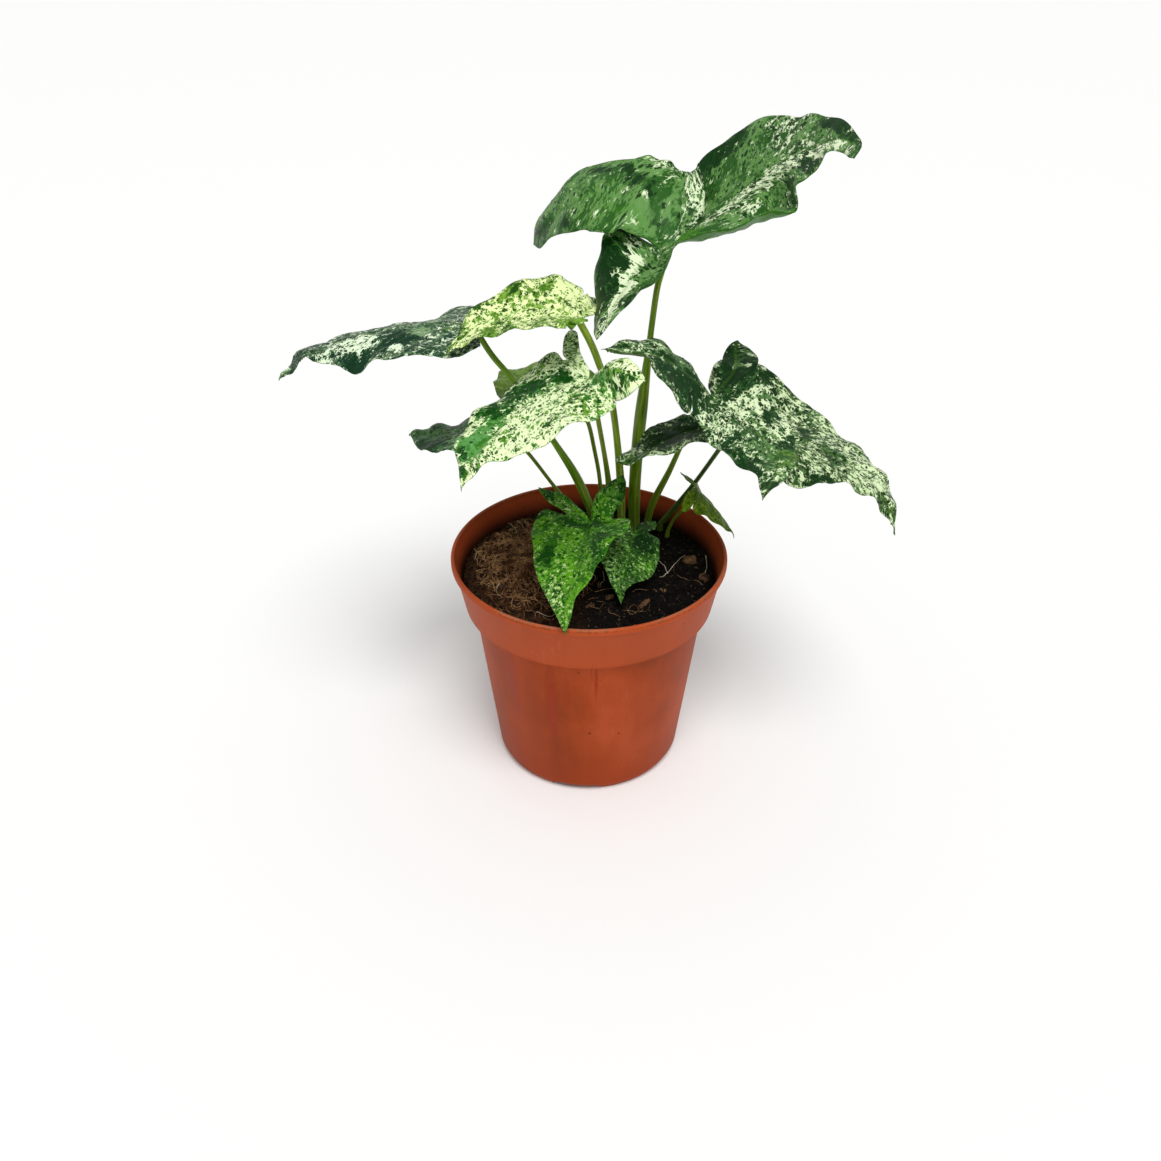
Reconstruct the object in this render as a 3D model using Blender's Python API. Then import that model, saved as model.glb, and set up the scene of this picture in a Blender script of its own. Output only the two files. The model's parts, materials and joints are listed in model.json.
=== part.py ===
# Potted arrowhead plant: mottled arrow-shaped leaves on upright stalks, in a filled nursery pot.
# Metres, +Z up. The origin is the centre of the pot's underside.

import math

import bpy
import numpy as np
from mathutils import Vector
from mathutils.geometry import delaunay_2d_cdt

MM = 0.001
GAP = 0.3                     # mm left between neighbouring pieces

# Pot, mm: a turned wall with a collar and a rolled lip
POT_HEIGHT = 103.0
LIP_RADIUS = 60.0
LIP_HEIGHT = 3.0
COLLAR_TOP_RADIUS = 57.0
COLLAR_FOOT_RADIUS = 54.8
COLLAR_FOOT_HEIGHT = 80.0
BODY_TOP_RADIUS = 51.0
BODY_FOOT_RADIUS = 42.0
BASE_RADIUS = 39.5
WALL = 1.4
FLOOR = 3.0
POT_SIDES = 56
DRAIN_RADIUS = 3.5
DRAIN_CIRCLE = 28.0
DRAIN_SIDES = 12
CHANNEL_WIDTH = 13.0
CHANNEL_DEPTH = 1.5
CHANNEL_START = 16.0

# Soil, mm
SOIL_TOP = 93.5
SOIL_SIDES = 40
STALK_DEPTH = 9.0             # how deep a stalk stands in its hole
STALK_SIDES = 8

# Blades, mm
BLADE_THICKNESS = 0.7
MARGIN_STEP = 4.6
NET_STEP = 6.5

# Flat outline of half a blade: main lobe as (share of width, share of length),
# hind lobe as (share of its length to the side, share along its rib)
MAIN_HALF = [(0, 1), (0.05, 0.955), (0.20, 0.86), (0.50, 0.70), (0.80, 0.50), (0.97, 0.30), (1.0, 0.17)]
LOBE_OUTER = [(0.36, 0.30), (0.36, 0.62), (0.20, 0.88)]
LOBE_INNER = [(-0.20, 0.80), (-0.30, 0.52), (-0.20, 0.22)]
WAIST_HEIGHT = -0.02
SINUS = (0.0, -1.0)           # where the hind lobes meet, just behind the stalk
KEY_ANGLES = (48.0, 95.0)     # directions from the tip where lift, droop and turn are given
PULL_LEAN = math.radians(33.6)    # how far the second direction of a pull leans back from upright

# Leaves. Each blade is given flat and then bent: at is where its stalk meets it, heading is 0 to +X and 90 to
# +Y, and pairs are (left half, right half). The rows of seven for lift, droop and turn, in
# degrees, run left hind lobe, left waist, left side, tip, right side, right waist, right hind lobe.
# A ruffle is (height, wavelength, phase). Each pull shifts the blade round one of its flat points: (x, y,
# radius of the pull, mm towards +X, mm upwards and leaning back by PULL_LEAN).
LEAVES = {
    "leaf_top": dict(
        at=(29, 3.5, 235), heading=9, pitch=38, roll=-8, length=92.5,
        width=(33.5, 34), waist=(0.97, 0.81), lobe=(83.5, 43.5),
        lobe_angle=(128, 161), lobe_width=(0.51, 0.75),
        lift=(59, 20, 6, 0, 6, 25, 6), droop=(116, 35, -8, -24, 13, 8, 37),
        turn=(-1, 50, 4, 0, -4, -13, 2), sweep=42,
        ruffle=(0.9, 23, 0.5), colour=(0.1, 0.22, 0.07),
        pulls=[(7, -32, 13, -1.5, -0.5)]),
    "leaf_cream": dict(
        at=(-4.5, -5, 210.5), heading=178, pitch=5, roll=-2, length=54,
        width=(21.5, 24), waist=(0.85, 0.79), lobe=(29.5, 28),
        lobe_angle=(102, 117), lobe_width=(0.6, 0.57),
        lift=(17, 14, 8, 0, 18, 14, 4), droop=(12, 15, 19, 34, 14, 14, 23),
        turn=(15, 5, 3, 0, 5, -1, -8), sweep=-15,
        ruffle=(0.8, 15, 0), colour=(0.38, 0.48, 0.14),
        pulls=[(-8, 41, 8, -1, 1.5), (-27, -8, 11, -2, 1), (9, 41, 8, -1.5, 2), (24, 5, 8, -0.5, 1.5)]),
    "leaf_far_left": dict(
        at=(-47, 15, 201), heading=176, pitch=-3, roll=-8, length=86.5,
        width=(30.5, 34), waist=(0.84, 0.88), lobe=(15, 22),
        lobe_angle=(152, 135), lobe_width=(0.6, 0.6),
        lift=(-9, -10, -6, 0, -4, 9, 8), droop=(22, 16, 23, 12, 21, 18, 19),
        turn=(0, -8, 6, 0, 8, 13, -4), sweep=-42,
        ruffle=(1.2, 19, 1), colour=(0.05, 0.13, 0.07),
        pulls=[(0, 79, 14, 1.5, 2), (-12, 66, 12, -2.5, 3), (-23, 47, 12, 0, -4), (-30, 28, 12, -2, 2),
               (-30, 9, 12, 1, 1), (34, 9, 12, 2, 1)]),
    "leaf_front_left": dict(
        at=(-1.5, -24.5, 193.5), heading=208, pitch=-15, roll=1, length=71,
        width=(26, 28.5), waist=(0.85, 0.85), lobe=(32, 38.5),
        lobe_angle=(119, 119), lobe_width=(0.75, 0.35),
        lift=(23, 2, 7, 0, -2, 6, 7), droop=(30, 22, 16, 5, 12, 19, 23),
        turn=(5, 0, -1, 0, 2, 0, -9), sweep=-20,
        ruffle=(0.8, 18, 0), colour=(0.3, 0.42, 0.15),
        pulls=[(0, 65, 11, 1, 2), (-10, 54, 10, -1.5, 1), (-19, 38, 10, -1, -2), (-25, 23, 10, 0.5, 2),
               (-14, -8, 11, -2, 2.5), (-26, -15, 14, -0.5, -2), (-14, -15, 10, -0.5, 1.5),
               (11, 54, 10, -2, 1.5), (21, 38, 10, -1.5, 0.5), (28, 23, 10, 1.5, -2),
               (17, -9, 11, -3.5, 0), (32, -18, 14, 0.5, 1.5)]),
    "leaf_low_left": dict(
        at=(-37, 7.5, 158), heading=161, pitch=-11, roll=-1, length=51,
        width=(22.5, 20), waist=(0.85, 0.85), lobe=(27, 15),
        lobe_angle=(139, 132), lobe_width=(0.6, 0.6),
        lift=(8, 10, 4, 0, 2, 5, 3), droop=(18, 18, 22, 21, 16, 17, 18),
        turn=(0, 0, 0, 0, 0, 0, 0), sweep=10,
        ruffle=(0.8, 14, 0), colour=(0.03, 0.11, 0.05),
        pulls=[(0, 47, 8, -1, 3.5), (8, 39, 7, -1, 2), (15, 28, 7, 0.5, -1.5), (11, -10, 10, -2.5, 0.5),
               (6, -10, 7, -1.5, 0)]),
    "leaf_back_left": dict(
        at=(-10, 24, 164), heading=134, pitch=7, roll=8, length=47.5,
        width=(22, 20), waist=(0.85, 0.85), lobe=(16, 12),
        lobe_angle=(134, 141), lobe_width=(0.6, 0.6),
        lift=(3, 7, 5, 0, 7, 7, 1), droop=(21, 18, 19, 25, 17, 18, 22),
        turn=(3, 0, -3, 0, 1, 0, 0), sweep=2,
        ruffle=(0.6, 15, 0), colour=(0.14, 0.2, 0.04),
        pulls=[(-8, 36, 7, -1.5, 0.5)]),
    "leaf_front_right": dict(
        at=(48.5, -4, 176), heading=-50, pitch=-19, roll=10, length=60.5,
        width=(23.5, 17), waist=(0.96, 0.82), lobe=(35, 58.5),
        lobe_angle=(111, 117), lobe_width=(0.5, 0.73),
        lift=(20, 33, 10, 0, -2, 18, 41), droop=(15, 5, 7, 5, 6, -16, 54),
        turn=(-10, 5, -8, 0, -2, 6, -2), sweep=23,
        ruffle=(0.8, 17, 1), colour=(0.14, 0.22, 0.09),
        pulls=[(0, 56, 10, -2, 2), (-9, 46, 8, 1, 1.5), (-23, 19, 8, -1.5, -0.5), (-24, 6, 8, -1.5, 2),
               (-16, -7, 10, 3.5, 0), (-31, -12, 12, -0.5, 2.5), (7, 46, 8, 1.5, 1), (17, 19, 8, -1, -1),
               (17, 6, 8, 1, -3.5), (26, -21, 8, 1.5, 1.5)]),
    "leaf_far_right": dict(
        at=(60.5, 8, 159), heading=-17, pitch=-5, roll=-8, length=86,
        width=(37, 37), waist=(1.04, 0.86), lobe=(42.5, 53.5),
        lobe_angle=(121, 147), lobe_width=(0.67, 0.81),
        lift=(11, 18, -6, 0, 5, 17, 5), droop=(15, 12, 16, 3, 7, 13, 48),
        turn=(8, -4, 4, 0, -14, -1, 1), sweep=32,
        ruffle=(1.1, 19, 0), colour=(0.17, 0.25, 0.12),
        pulls=[(0, 79, 14, -1.5, 0.5), (-37, 9, 12, -1.5, 0), (-35, -21, 17, 1, 0.5),
               (14, 65, 12, 1.5, 1), (28, 46, 12, 1, 2), (36, 28, 12, 0.5, -3), (27, -43, 17, 1, -2),
               (14, -34, 12, 1.5, -1)]),
    "leaf_low_front": dict(
        at=(0.5, -6.5, 120.5), heading=-105, pitch=-2, roll=-10, length=63,
        width=(21, 23.5), waist=(0.83, 0.88), lobe=(26, 31),
        lobe_angle=(145, 124), lobe_width=(0.72, 0.45),
        lift=(31, 7, 13, 0, 9, 20, 24), droop=(23, 20, 14, 26, 18, 17, 22),
        turn=(-4, 2, 11, 0, -6, 1, -5), sweep=-3,
        ruffle=(0.5, 16, 0), colour=(0.1, 0.3, 0.04),
        pulls=[(-8, 48, 9, -2, 1), (-9, -10, 10, -1.5, -0.5), (23, 20, 9, 1.5, 0.5)]),
    "leaf_low_small": dict(
        at=(19.5, 2.5, 109.5), heading=-101, pitch=-2, roll=14, length=39.5,
        width=(14, 16.5), waist=(0.84, 0.85), lobe=(17, 15.5),
        lobe_angle=(146, 133), lobe_width=(0.6, 0.6),
        lift=(14, 12, 1, 0, 8, 14, 10), droop=(28, 20, 22, 30, 19, 19, 29),
        turn=(-3, 1, 1, 0, -1, 0, -3), sweep=-5,
        ruffle=(0.4, 12, 0), colour=(0.06, 0.18, 0.04),
        pulls=[(-5, 30, 6, -2.5, 0.5), (-10, 21, 6, 1, -1), (-14, 4, 6, -1.5, 0),
               (-9, -13, 8, -1.5, -1.5), (11, -10, 8, 0, -3)]),
    "leaf_pale": dict(
        at=(47, 13, 126), heading=-18, pitch=-40, roll=9, length=28,
        width=(12, 12.5), waist=(0.85, 0.86), lobe=(12.5, 14),
        lobe_angle=(140, 113), lobe_width=(0.6, 0.61),
        lift=(-8, -8, -20, 0, -1, -4, -13), droop=(21, 21, 24, 11, 18, 23, 28),
        turn=(0, 0, 0, 0, 0, -5, -8), sweep=19,
        ruffle=(0.3, 10, 0), colour=(0.28, 0.36, 0.02),
        pulls=[(0, 26, 4, 0, 2), (-9, 15, 4, -1, -1), (-12, 9, 4, -1.5, -0.5), (13, 3, 4, -1, -2),
               (12, -5, 6, 0.5, -4)]),
}

# Stalks: the foot on the soil (x, y), the points the stalk runs through, its radius in the sheath and under
# the blade, the share of its length where the sheath ends, and what is added to its gap under the blade
STALKS = {
    "leaf_top": dict(foot=(21, 29.5), radius=(2.6, 1.2), sheath=0.62, clear=0.0,
                     through=[(20.5, 27, 117), (21, 22, 142), (22.5, 16, 170), (25.5, 9, 212.5),
                              (27.5, 6, 225.5)]),
    "leaf_cream": dict(foot=(15, 27), radius=(1.8, 1.4), sheath=0.4, clear=0.05,
                       through=[(14, 24, 124.5), (9.5, 12, 166.5), (3.5, 3, 189), (0, -1, 199.5)]),
    "leaf_far_left": dict(foot=(5, 28), radius=(2.0, 1.2), sheath=0.45, clear=0.15,
                          through=[(-5, 18, 128), (-15.5, 9, 152), (-29.5, 3, 179.5), (-39.5, 8, 190.5)]),
    "leaf_front_left": dict(foot=(10.5, 33), radius=(1.4, 1.0), sheath=0.4, clear=0.05,
                            through=[(8.5, 20, 126.5), (3.5, -2, 166), (1, -14, 183)]),
    "leaf_low_left": dict(foot=(-2.5, 33), radius=(1.2, 0.8), sheath=0.3, clear=0.05,
                          through=[(-9, 27, 110.5), (-15.5, 23, 122), (-26, 15.5, 142), (-33, 10, 152.5)]),
    "leaf_back_left": dict(foot=(6.5, 38.5), radius=(1.2, 0.9), sheath=0.3, clear=0.15,
                           through=[(5, 34, 119), (2.5, 31, 135.5), (-0.5, 27, 151), (-5, 25, 158.5)]),
    "leaf_front_right": dict(foot=(26.5, 31.5), radius=(1.6, 1.1), sheath=0.4, clear=-0.35,
                             through=[(29, 27.5, 111), (35.5, 23, 130), (41, 21, 147), (44.5, 20, 158),
                                      (47, 17.5, 166), (48.5, 9, 172)]),
    "leaf_far_right": dict(foot=(33, 33.5), radius=(1.4, 1.0), sheath=0.4, clear=0.05,
                           through=[(40, 32, 106.5), (48, 28.5, 121.5), (56, 18, 143)]),
    "leaf_low_front": dict(foot=(5, 20), radius=(1.3, 1.0), sheath=0.3, clear=-0.2,
                           through=[(3, 13, 106), (0.5, 3, 114.5)]),
    "leaf_low_small": dict(foot=(20.5, 19.5), radius=(1.1, 0.8), sheath=0.3, clear=-0.05,
                           through=[(20.5, 13, 101)]),
    "leaf_pale": dict(foot=(36, 26.5), radius=(1.0, 0.7), sheath=0.3, clear=0.3,
                      through=[(38, 24.5, 103), (43, 19.5, 114)]),
}

# Materials, as linear colours
POT_COLOUR = (0.36, 0.075, 0.024)
SOIL_COLOUR = (0.03, 0.018, 0.010)
STALK_COLOUR = (0.18, 0.33, 0.035)


def material(name, colour, roughness):
    made = bpy.data.materials.new(name)
    made.use_nodes = True
    shader = made.node_tree.nodes["Principled BSDF"]
    shader.inputs["Base Color"].default_value = (*colour, 1.0)
    shader.inputs["Roughness"].default_value = roughness
    return made


def solid(name, points, faces, finish):
    # one named object from points in mm; faces wind outwards
    mesh = bpy.data.meshes.new(name)
    mesh.from_pydata([tuple(float(v) * MM for v in p) for p in points], [], faces)
    mesh.update()
    mesh.materials.append(finish)
    made = bpy.data.objects.new(name, mesh)
    bpy.context.collection.objects.link(made)
    return made


def curve_through(points, steps):
    # open Catmull-Rom curve through the points
    pts = [np.array(p, float) for p in points]
    pts = [2 * pts[0] - pts[1]] + pts + [2 * pts[-1] - pts[-2]]
    out = []
    for a, b, c, d in zip(pts, pts[1:], pts[2:], pts[3:]):
        for k in range(steps):
            t = k / steps
            out.append(0.5 * (2 * b + (c - a) * t + (2 * a - 5 * b + 4 * c - d) * t ** 2
                              + (3 * b - a - 3 * c + d) * t ** 3))
    out.append(pts[-2])
    return np.array(out)


def run_lengths(points):
    steps = np.linalg.norm(np.diff(points, axis=0), axis=1)
    return np.concatenate([[0.0], np.cumsum(steps)])


def even(points, step):
    # the same path with evenly spaced points
    along = run_lengths(points)
    count = max(2, round(along[-1] / step) + 1)
    stops = np.linspace(0.0, along[-1], count)
    return np.stack([np.interp(stops, along, points[:, k]) for k in range(points.shape[1])], axis=1)


# Blades


def half_margin(leaf, side, step):
    # side 0 is the left half seen from above with the tip ahead, side 1 the right;
    # runs from the tip round the hind lobe to the sinus
    length, width, lobe = leaf["length"], leaf["width"][side], leaf["lobe"][side]
    angle, fullness = math.radians(leaf["lobe_angle"][side]), leaf["lobe_width"][side]
    rib = np.array([math.sin(angle), math.cos(angle)])
    across = np.array([-math.cos(angle), math.sin(angle)])
    main = [(width * a, length * b) for a, b in MAIN_HALF]
    waist = (width * leaf["waist"][side], WAIST_HEIGHT * length)
    outer = [lobe * (rib * b + across * a * fullness) for a, b in LOBE_OUTER]
    inner = [lobe * (rib * b + across * a * fullness) for a, b in LOBE_INNER]
    tip = rib * lobe
    front = even(curve_through(main + [waist] + outer + [tip], 8), step)
    back = even(curve_through([tip] + inner + [SINUS], 8), step)
    half = np.vstack([front, back[1:]])
    if side == 0:
        half[:, 0] *= -1
    return half


def margin(leaf, step):
    right = half_margin(leaf, 1, step)
    left = half_margin(leaf, 0, step)
    return np.vstack([right, left[-2:0:-1]])


def between_keys(angle, keys, values):
    # smooth values between the key directions, without overshoot at the ends
    k, v = np.array(keys, float), np.array(values, float)
    i = np.clip(np.searchsorted(k, angle, side="right") - 1, 0, len(k) - 2)
    before, after = np.clip(i - 1, 0, None), np.clip(i + 2, None, len(k) - 1)
    span = k[i + 1] - k[i]
    t = (angle - k[i]) / span
    m0 = (v[i + 1] - v[before]) / (k[i + 1] - k[before]) * span
    m1 = (v[after] - v[i]) / (k[after] - k[i]) * span
    return ((2 * t ** 3 - 3 * t ** 2 + 1) * v[i] + (t ** 3 - 2 * t ** 2 + t) * m0
            + (3 * t ** 2 - 2 * t ** 3) * v[i + 1] + (t ** 3 - t ** 2) * m1)


def bend(leaf, flat):
    # every ray from the stalk rises by its lift, droops on its way out, and turns a little
    length = leaf["length"]
    reach = np.hypot(flat[:, 0], flat[:, 1])
    angle = np.degrees(np.arctan2(flat[:, 0], flat[:, 1]))
    near, side = KEY_ANGLES
    left, right = leaf["lobe_angle"]
    keys = (-181, -left, -side, -near, 0, near, side, right, 181)
    lift, droop, turn = [between_keys(angle, keys, (row[0], *row, row[-1]))
                         for row in (leaf["lift"], leaf["droop"], leaf["turn"])]
    out, up = np.zeros_like(reach), np.zeros_like(reach)
    steps = 12
    for k in range(steps):
        slope = np.radians(lift - droop * (k + 0.5) / steps * reach / length)
        out += np.cos(slope) * reach / steps
        up += np.sin(slope) * reach / steps
    sweep = leaf["sweep"] * (reach / length) ** 2 * np.maximum(np.cos(np.radians(angle)), 0)
    heading = np.radians(angle + sweep + turn * np.clip(reach / (0.15 * length), 0, 1))
    return np.stack([out * np.sin(heading), out * np.cos(heading), up], axis=1)


def ruffle(leaf, flat):
    # waves that follow the margin and die away inside the blade
    height, wavelength, phase = leaf["ruffle"]
    edge = margin(leaf, 1.5)
    along = run_lengths(edge)
    away = np.linalg.norm(flat[:, None, :] - edge[None, :, :], axis=2)
    nearest = away.argmin(axis=1)
    fade = np.exp(-(away.min(axis=1) / (0.09 * leaf["length"])) ** 2)
    fade *= np.clip(np.hypot(flat[:, 0], flat[:, 1]) / (0.25 * leaf["length"]), 0, 1) ** 2
    return height * fade * np.sin(2 * math.pi * along[nearest] / wavelength + phase)


def leaf_axes(leaf):
    # unit vectors to the blade's right, towards its tip, and up through its upper face
    heading, pitch, roll = [math.radians(leaf[k]) for k in ("heading", "pitch", "roll")]
    level = np.array([math.sin(heading), -math.cos(heading), 0.0])
    ahead = np.array([math.cos(heading), math.sin(heading), math.tan(pitch)]) * math.cos(pitch)
    right = level * math.cos(roll) + np.cross(level, ahead) * math.sin(roll)
    return np.stack([right, ahead, np.cross(right, ahead)])


def blade_surface(leaf, flat):
    # flat leaf coordinates in mm to world coordinates in mm
    nudge = 0.4
    dx, dy = np.array([nudge, 0.0]), np.array([0.0, nudge])
    across = bend(leaf, flat + dx) - bend(leaf, flat - dx)
    ahead = bend(leaf, flat + dy) - bend(leaf, flat - dy)
    normal = np.cross(across, ahead)
    normal /= np.maximum(np.linalg.norm(normal, axis=1, keepdims=True), 1e-9)
    bent = bend(leaf, flat) + normal * ruffle(leaf, flat)[:, None]
    world = bent @ leaf_axes(leaf) + np.array(leaf["at"], float)
    sideways = np.array([1.0, 0.0, 0.0])
    upward = np.array([0.0, math.sin(PULL_LEAN), math.cos(PULL_LEAN)])
    near_stalk = 1 - np.exp(-(flat ** 2).sum(axis=1) / (0.12 * leaf["length"]) ** 2)
    for x, y, radius, right, up in leaf["pulls"]:
        weight = np.exp(-((flat - (x, y)) ** 2).sum(axis=1) / radius ** 2) * near_stalk
        world += weight[:, None] * (right * sideways + up * upward)
    return world


def inside(points, loop):
    # which points lie inside the closed loop
    hit = np.zeros(len(points), bool)
    for (x0, y0), (x1, y1) in zip(loop, np.roll(loop, -1, axis=0)):
        if y0 == y1:
            continue
        crosses = (y0 > points[:, 1]) != (y1 > points[:, 1])
        hit ^= crosses & (points[:, 0] < x0 + (points[:, 1] - y0) * (x1 - x0) / (y1 - y0))
    return hit


def net_points(loop, step, clear):
    # a triangular net of points inside the loop, clear of its edge
    low, high = loop.min(axis=0), loop.max(axis=0)
    rows = np.arange(low[1], high[1], step * math.sqrt(0.75))
    points = np.array([(x + (row % 2) * step / 2, y) for row, y in enumerate(rows)
                       for x in np.arange(-step * 30, step * 30, step) if low[0] < x < high[0]])
    points = points[inside(points, loop)]
    edge = even(np.vstack([loop, loop[:1]]), 1.0)
    away = np.linalg.norm(points[:, None, :] - edge[None, :, :], axis=2).min(axis=1)
    return points[away > clear]


def triangles_in(loop, extra, holes=()):
    # constrained triangles inside a loop, with extra points and round holes left out
    points = [Vector(p) for p in loop]
    faces = [list(range(len(loop)))]
    for hole in holes:
        faces.append(list(range(len(points), len(points) + len(hole))))
        points += [Vector(p) for p in hole]
    points += [Vector(p) for p in extra]
    coords, _, tris, _, _, _ = delaunay_2d_cdt(points, [], faces, 1, 1e-5)
    flat = np.array([tuple(c) for c in coords])
    kept = []
    for a, b, c in tris:
        middle = (flat[a] + flat[b] + flat[c]) / 3
        if any(inside(middle[None], np.array(hole))[0] for hole in holes):
            continue
        (ax, ay), (bx, by), (cx, cy) = flat[a], flat[b], flat[c]
        ahead = (bx - ax) * (cy - ay) - (by - ay) * (cx - ax) > 0
        kept.append((a, b, c) if ahead else (a, c, b))
    return flat, kept


def border(tris):
    # edges that belong to one triangle, in that triangle's own direction
    edges = {}
    for tri in tris:
        for a, b in zip(tri, tri[1:] + tri[:1]):
            edges[(a, b)] = True
    return [(a, b) for a, b in edges if (b, a) not in edges]


def corner_normals(points, tris):
    total = np.zeros_like(points)
    for a, b, c in tris:
        face = np.cross(points[b] - points[a], points[c] - points[a])
        for k in (a, b, c):
            total[k] += face
    return total / np.linalg.norm(total, axis=1, keepdims=True)


def blade(name, leaf, finish):
    loop = margin(leaf, MARGIN_STEP)
    flat, tris = triangles_in(loop, net_points(loop, NET_STEP, 0.45 * NET_STEP))
    middle = blade_surface(leaf, flat)
    offset = corner_normals(middle, tris) * BLADE_THICKNESS / 2
    count = len(middle)
    points = np.vstack([middle + offset, middle - offset])
    faces = list(tris) + [(a + count, c + count, b + count) for a, b, c in tris]
    for a, b in border(tris):
        faces += [(b, a, a + count), (b, a + count, b + count)]
    return solid(name, points, faces, finish)


# Stalks


def stalk_route(leaf_name):
    # upright in the soil, then through its own points to just under the blade
    stalk, leaf = STALKS[leaf_name], LEAVES[leaf_name]
    x, y = stalk["foot"]
    end = np.array(leaf["at"], float)
    before = np.array(stalk["through"][-1], float)
    back = (before - end) / np.linalg.norm(before - end)
    under = -leaf_axes(leaf)[2]
    slant = math.sqrt(max(0.0, 1 - (back @ under) ** 2))
    end = end + under * (BLADE_THICKNESS / 2 + GAP + stalk["clear"] + stalk["radius"][1] * slant)
    above = even(curve_through([(x, y, SOIL_TOP + 2.5), *stalk["through"], end], 10), 6.5)
    return np.vstack([[(x, y, SOIL_TOP - STALK_DEPTH)], above])


def stalk_radii(leaf_name, route):
    # thick sheath below, thin round stalk above
    low, high = STALKS[leaf_name]["radius"]
    sheath = STALKS[leaf_name]["sheath"]
    share = run_lengths(route) / run_lengths(route)[-1]
    fade = np.clip((share - sheath + 0.15) / 0.3, 0, 1)
    return low + (high - low) * fade * fade * (3 - 2 * fade)


def tube(name, route, radii, finish):
    # round tube with flat ends; its rings are carried along without twisting
    points, side = [], np.array([1.0, 0.0, 0.0])
    for k, (centre, radius) in enumerate(zip(route, radii)):
        ahead = route[min(k + 1, len(route) - 1)] - route[max(k - 1, 0)]
        if k < 2:
            ahead = np.array([0.0, 0.0, 1.0])
        ahead = ahead / np.linalg.norm(ahead)
        side = side - ahead * (side @ ahead)
        side = side / np.linalg.norm(side)
        other = np.cross(ahead, side)
        for n in range(STALK_SIDES):
            turn = 2 * math.pi * n / STALK_SIDES
            points.append(centre + radius * (side * math.cos(turn) + other * math.sin(turn)))
    faces = [tuple(reversed(range(STALK_SIDES)))]
    for k in range(len(route) - 1):
        for n in range(STALK_SIDES):
            a, b = k * STALK_SIDES + n, k * STALK_SIDES + (n + 1) % STALK_SIDES
            faces.append((a, b, b + STALK_SIDES, a + STALK_SIDES))
    last = (len(route) - 1) * STALK_SIDES
    faces.append(tuple(range(last, last + STALK_SIDES)))
    return solid(name, points, faces, finish)


# Pot and soil


def circle(centre, radius, sides):
    return [(centre[0] + radius * math.cos(2 * math.pi * n / sides),
             centre[1] + radius * math.sin(2 * math.pi * n / sides)) for n in range(sides)]


def arc(cx, cz, radius, start, end, count):
    # points on an arc of the profile; angles in degrees from outwards
    return [(cx + radius * math.cos(math.radians(a)), cz + radius * math.sin(math.radians(a)))
            for a in np.linspace(start, end, count)]


def pot_inside():
    # radius and height of the inner wall, from the collar down to the floor
    top = POT_HEIGHT - LIP_HEIGHT
    return [(COLLAR_TOP_RADIUS - WALL, top - 1.0), (COLLAR_FOOT_RADIUS - WALL, COLLAR_FOOT_HEIGHT + 1.0),
            (BODY_TOP_RADIUS - WALL, COLLAR_FOOT_HEIGHT - 1.8), (BODY_FOOT_RADIUS - WALL, FLOOR + 2.0),
            (BASE_RADIUS - WALL, FLOOR)]


def turned(name, profile, sides, finish):
    # closed turned body; the profile runs from the axis below, out and up, and back to the axis
    points, faces = [], []
    rings = []
    for radius, height in profile:
        if radius == 0:
            rings.append([len(points)])
            points.append((0.0, 0.0, height))
            continue
        rings.append(list(range(len(points), len(points) + sides)))
        for n in range(sides):
            turn = 2 * math.pi * (n + 0.5) / sides
            points.append((radius * math.cos(turn), radius * math.sin(turn), height))
    for low, high in zip(rings, rings[1:]):
        for n in range(sides):
            m = (n + 1) % sides
            if len(low) == 1:
                faces.append((low[0], high[m], high[n]))
            elif len(high) == 1:
                faces.append((low[n], low[m], high[0]))
            else:
                faces.append((low[n], low[m], high[m], high[n]))
    return solid(name, points, faces, finish)


def cutter(name, points, faces):
    made = solid(name, points, faces, bpy.data.materials["pot"])
    made.hide_render = True
    made.display_type = "WIRE"
    return made


def box_points(size, centre, turn):
    # corners and outward faces of a box that is turned about the pot's axis
    cosine, sine = math.cos(turn), math.sin(turn)
    corners = []
    for z in (-1, 1):
        for x, y in ((-1, -1), (1, -1), (1, 1), (-1, 1)):
            px, py, pz = [c + s * d / 2 for c, s, d in zip(centre, (x, y, z), size)]
            corners.append((px * cosine - py * sine, px * sine + py * cosine, pz))
    faces = [(0, 3, 2, 1), (4, 5, 6, 7), (0, 1, 5, 4), (1, 2, 6, 5), (2, 3, 7, 6), (3, 0, 4, 7)]
    return corners, faces


def cut(body, tool):
    modifier = body.modifiers.new(tool.name, "BOOLEAN")
    modifier.object = tool
    modifier.operation = "DIFFERENCE"


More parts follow.
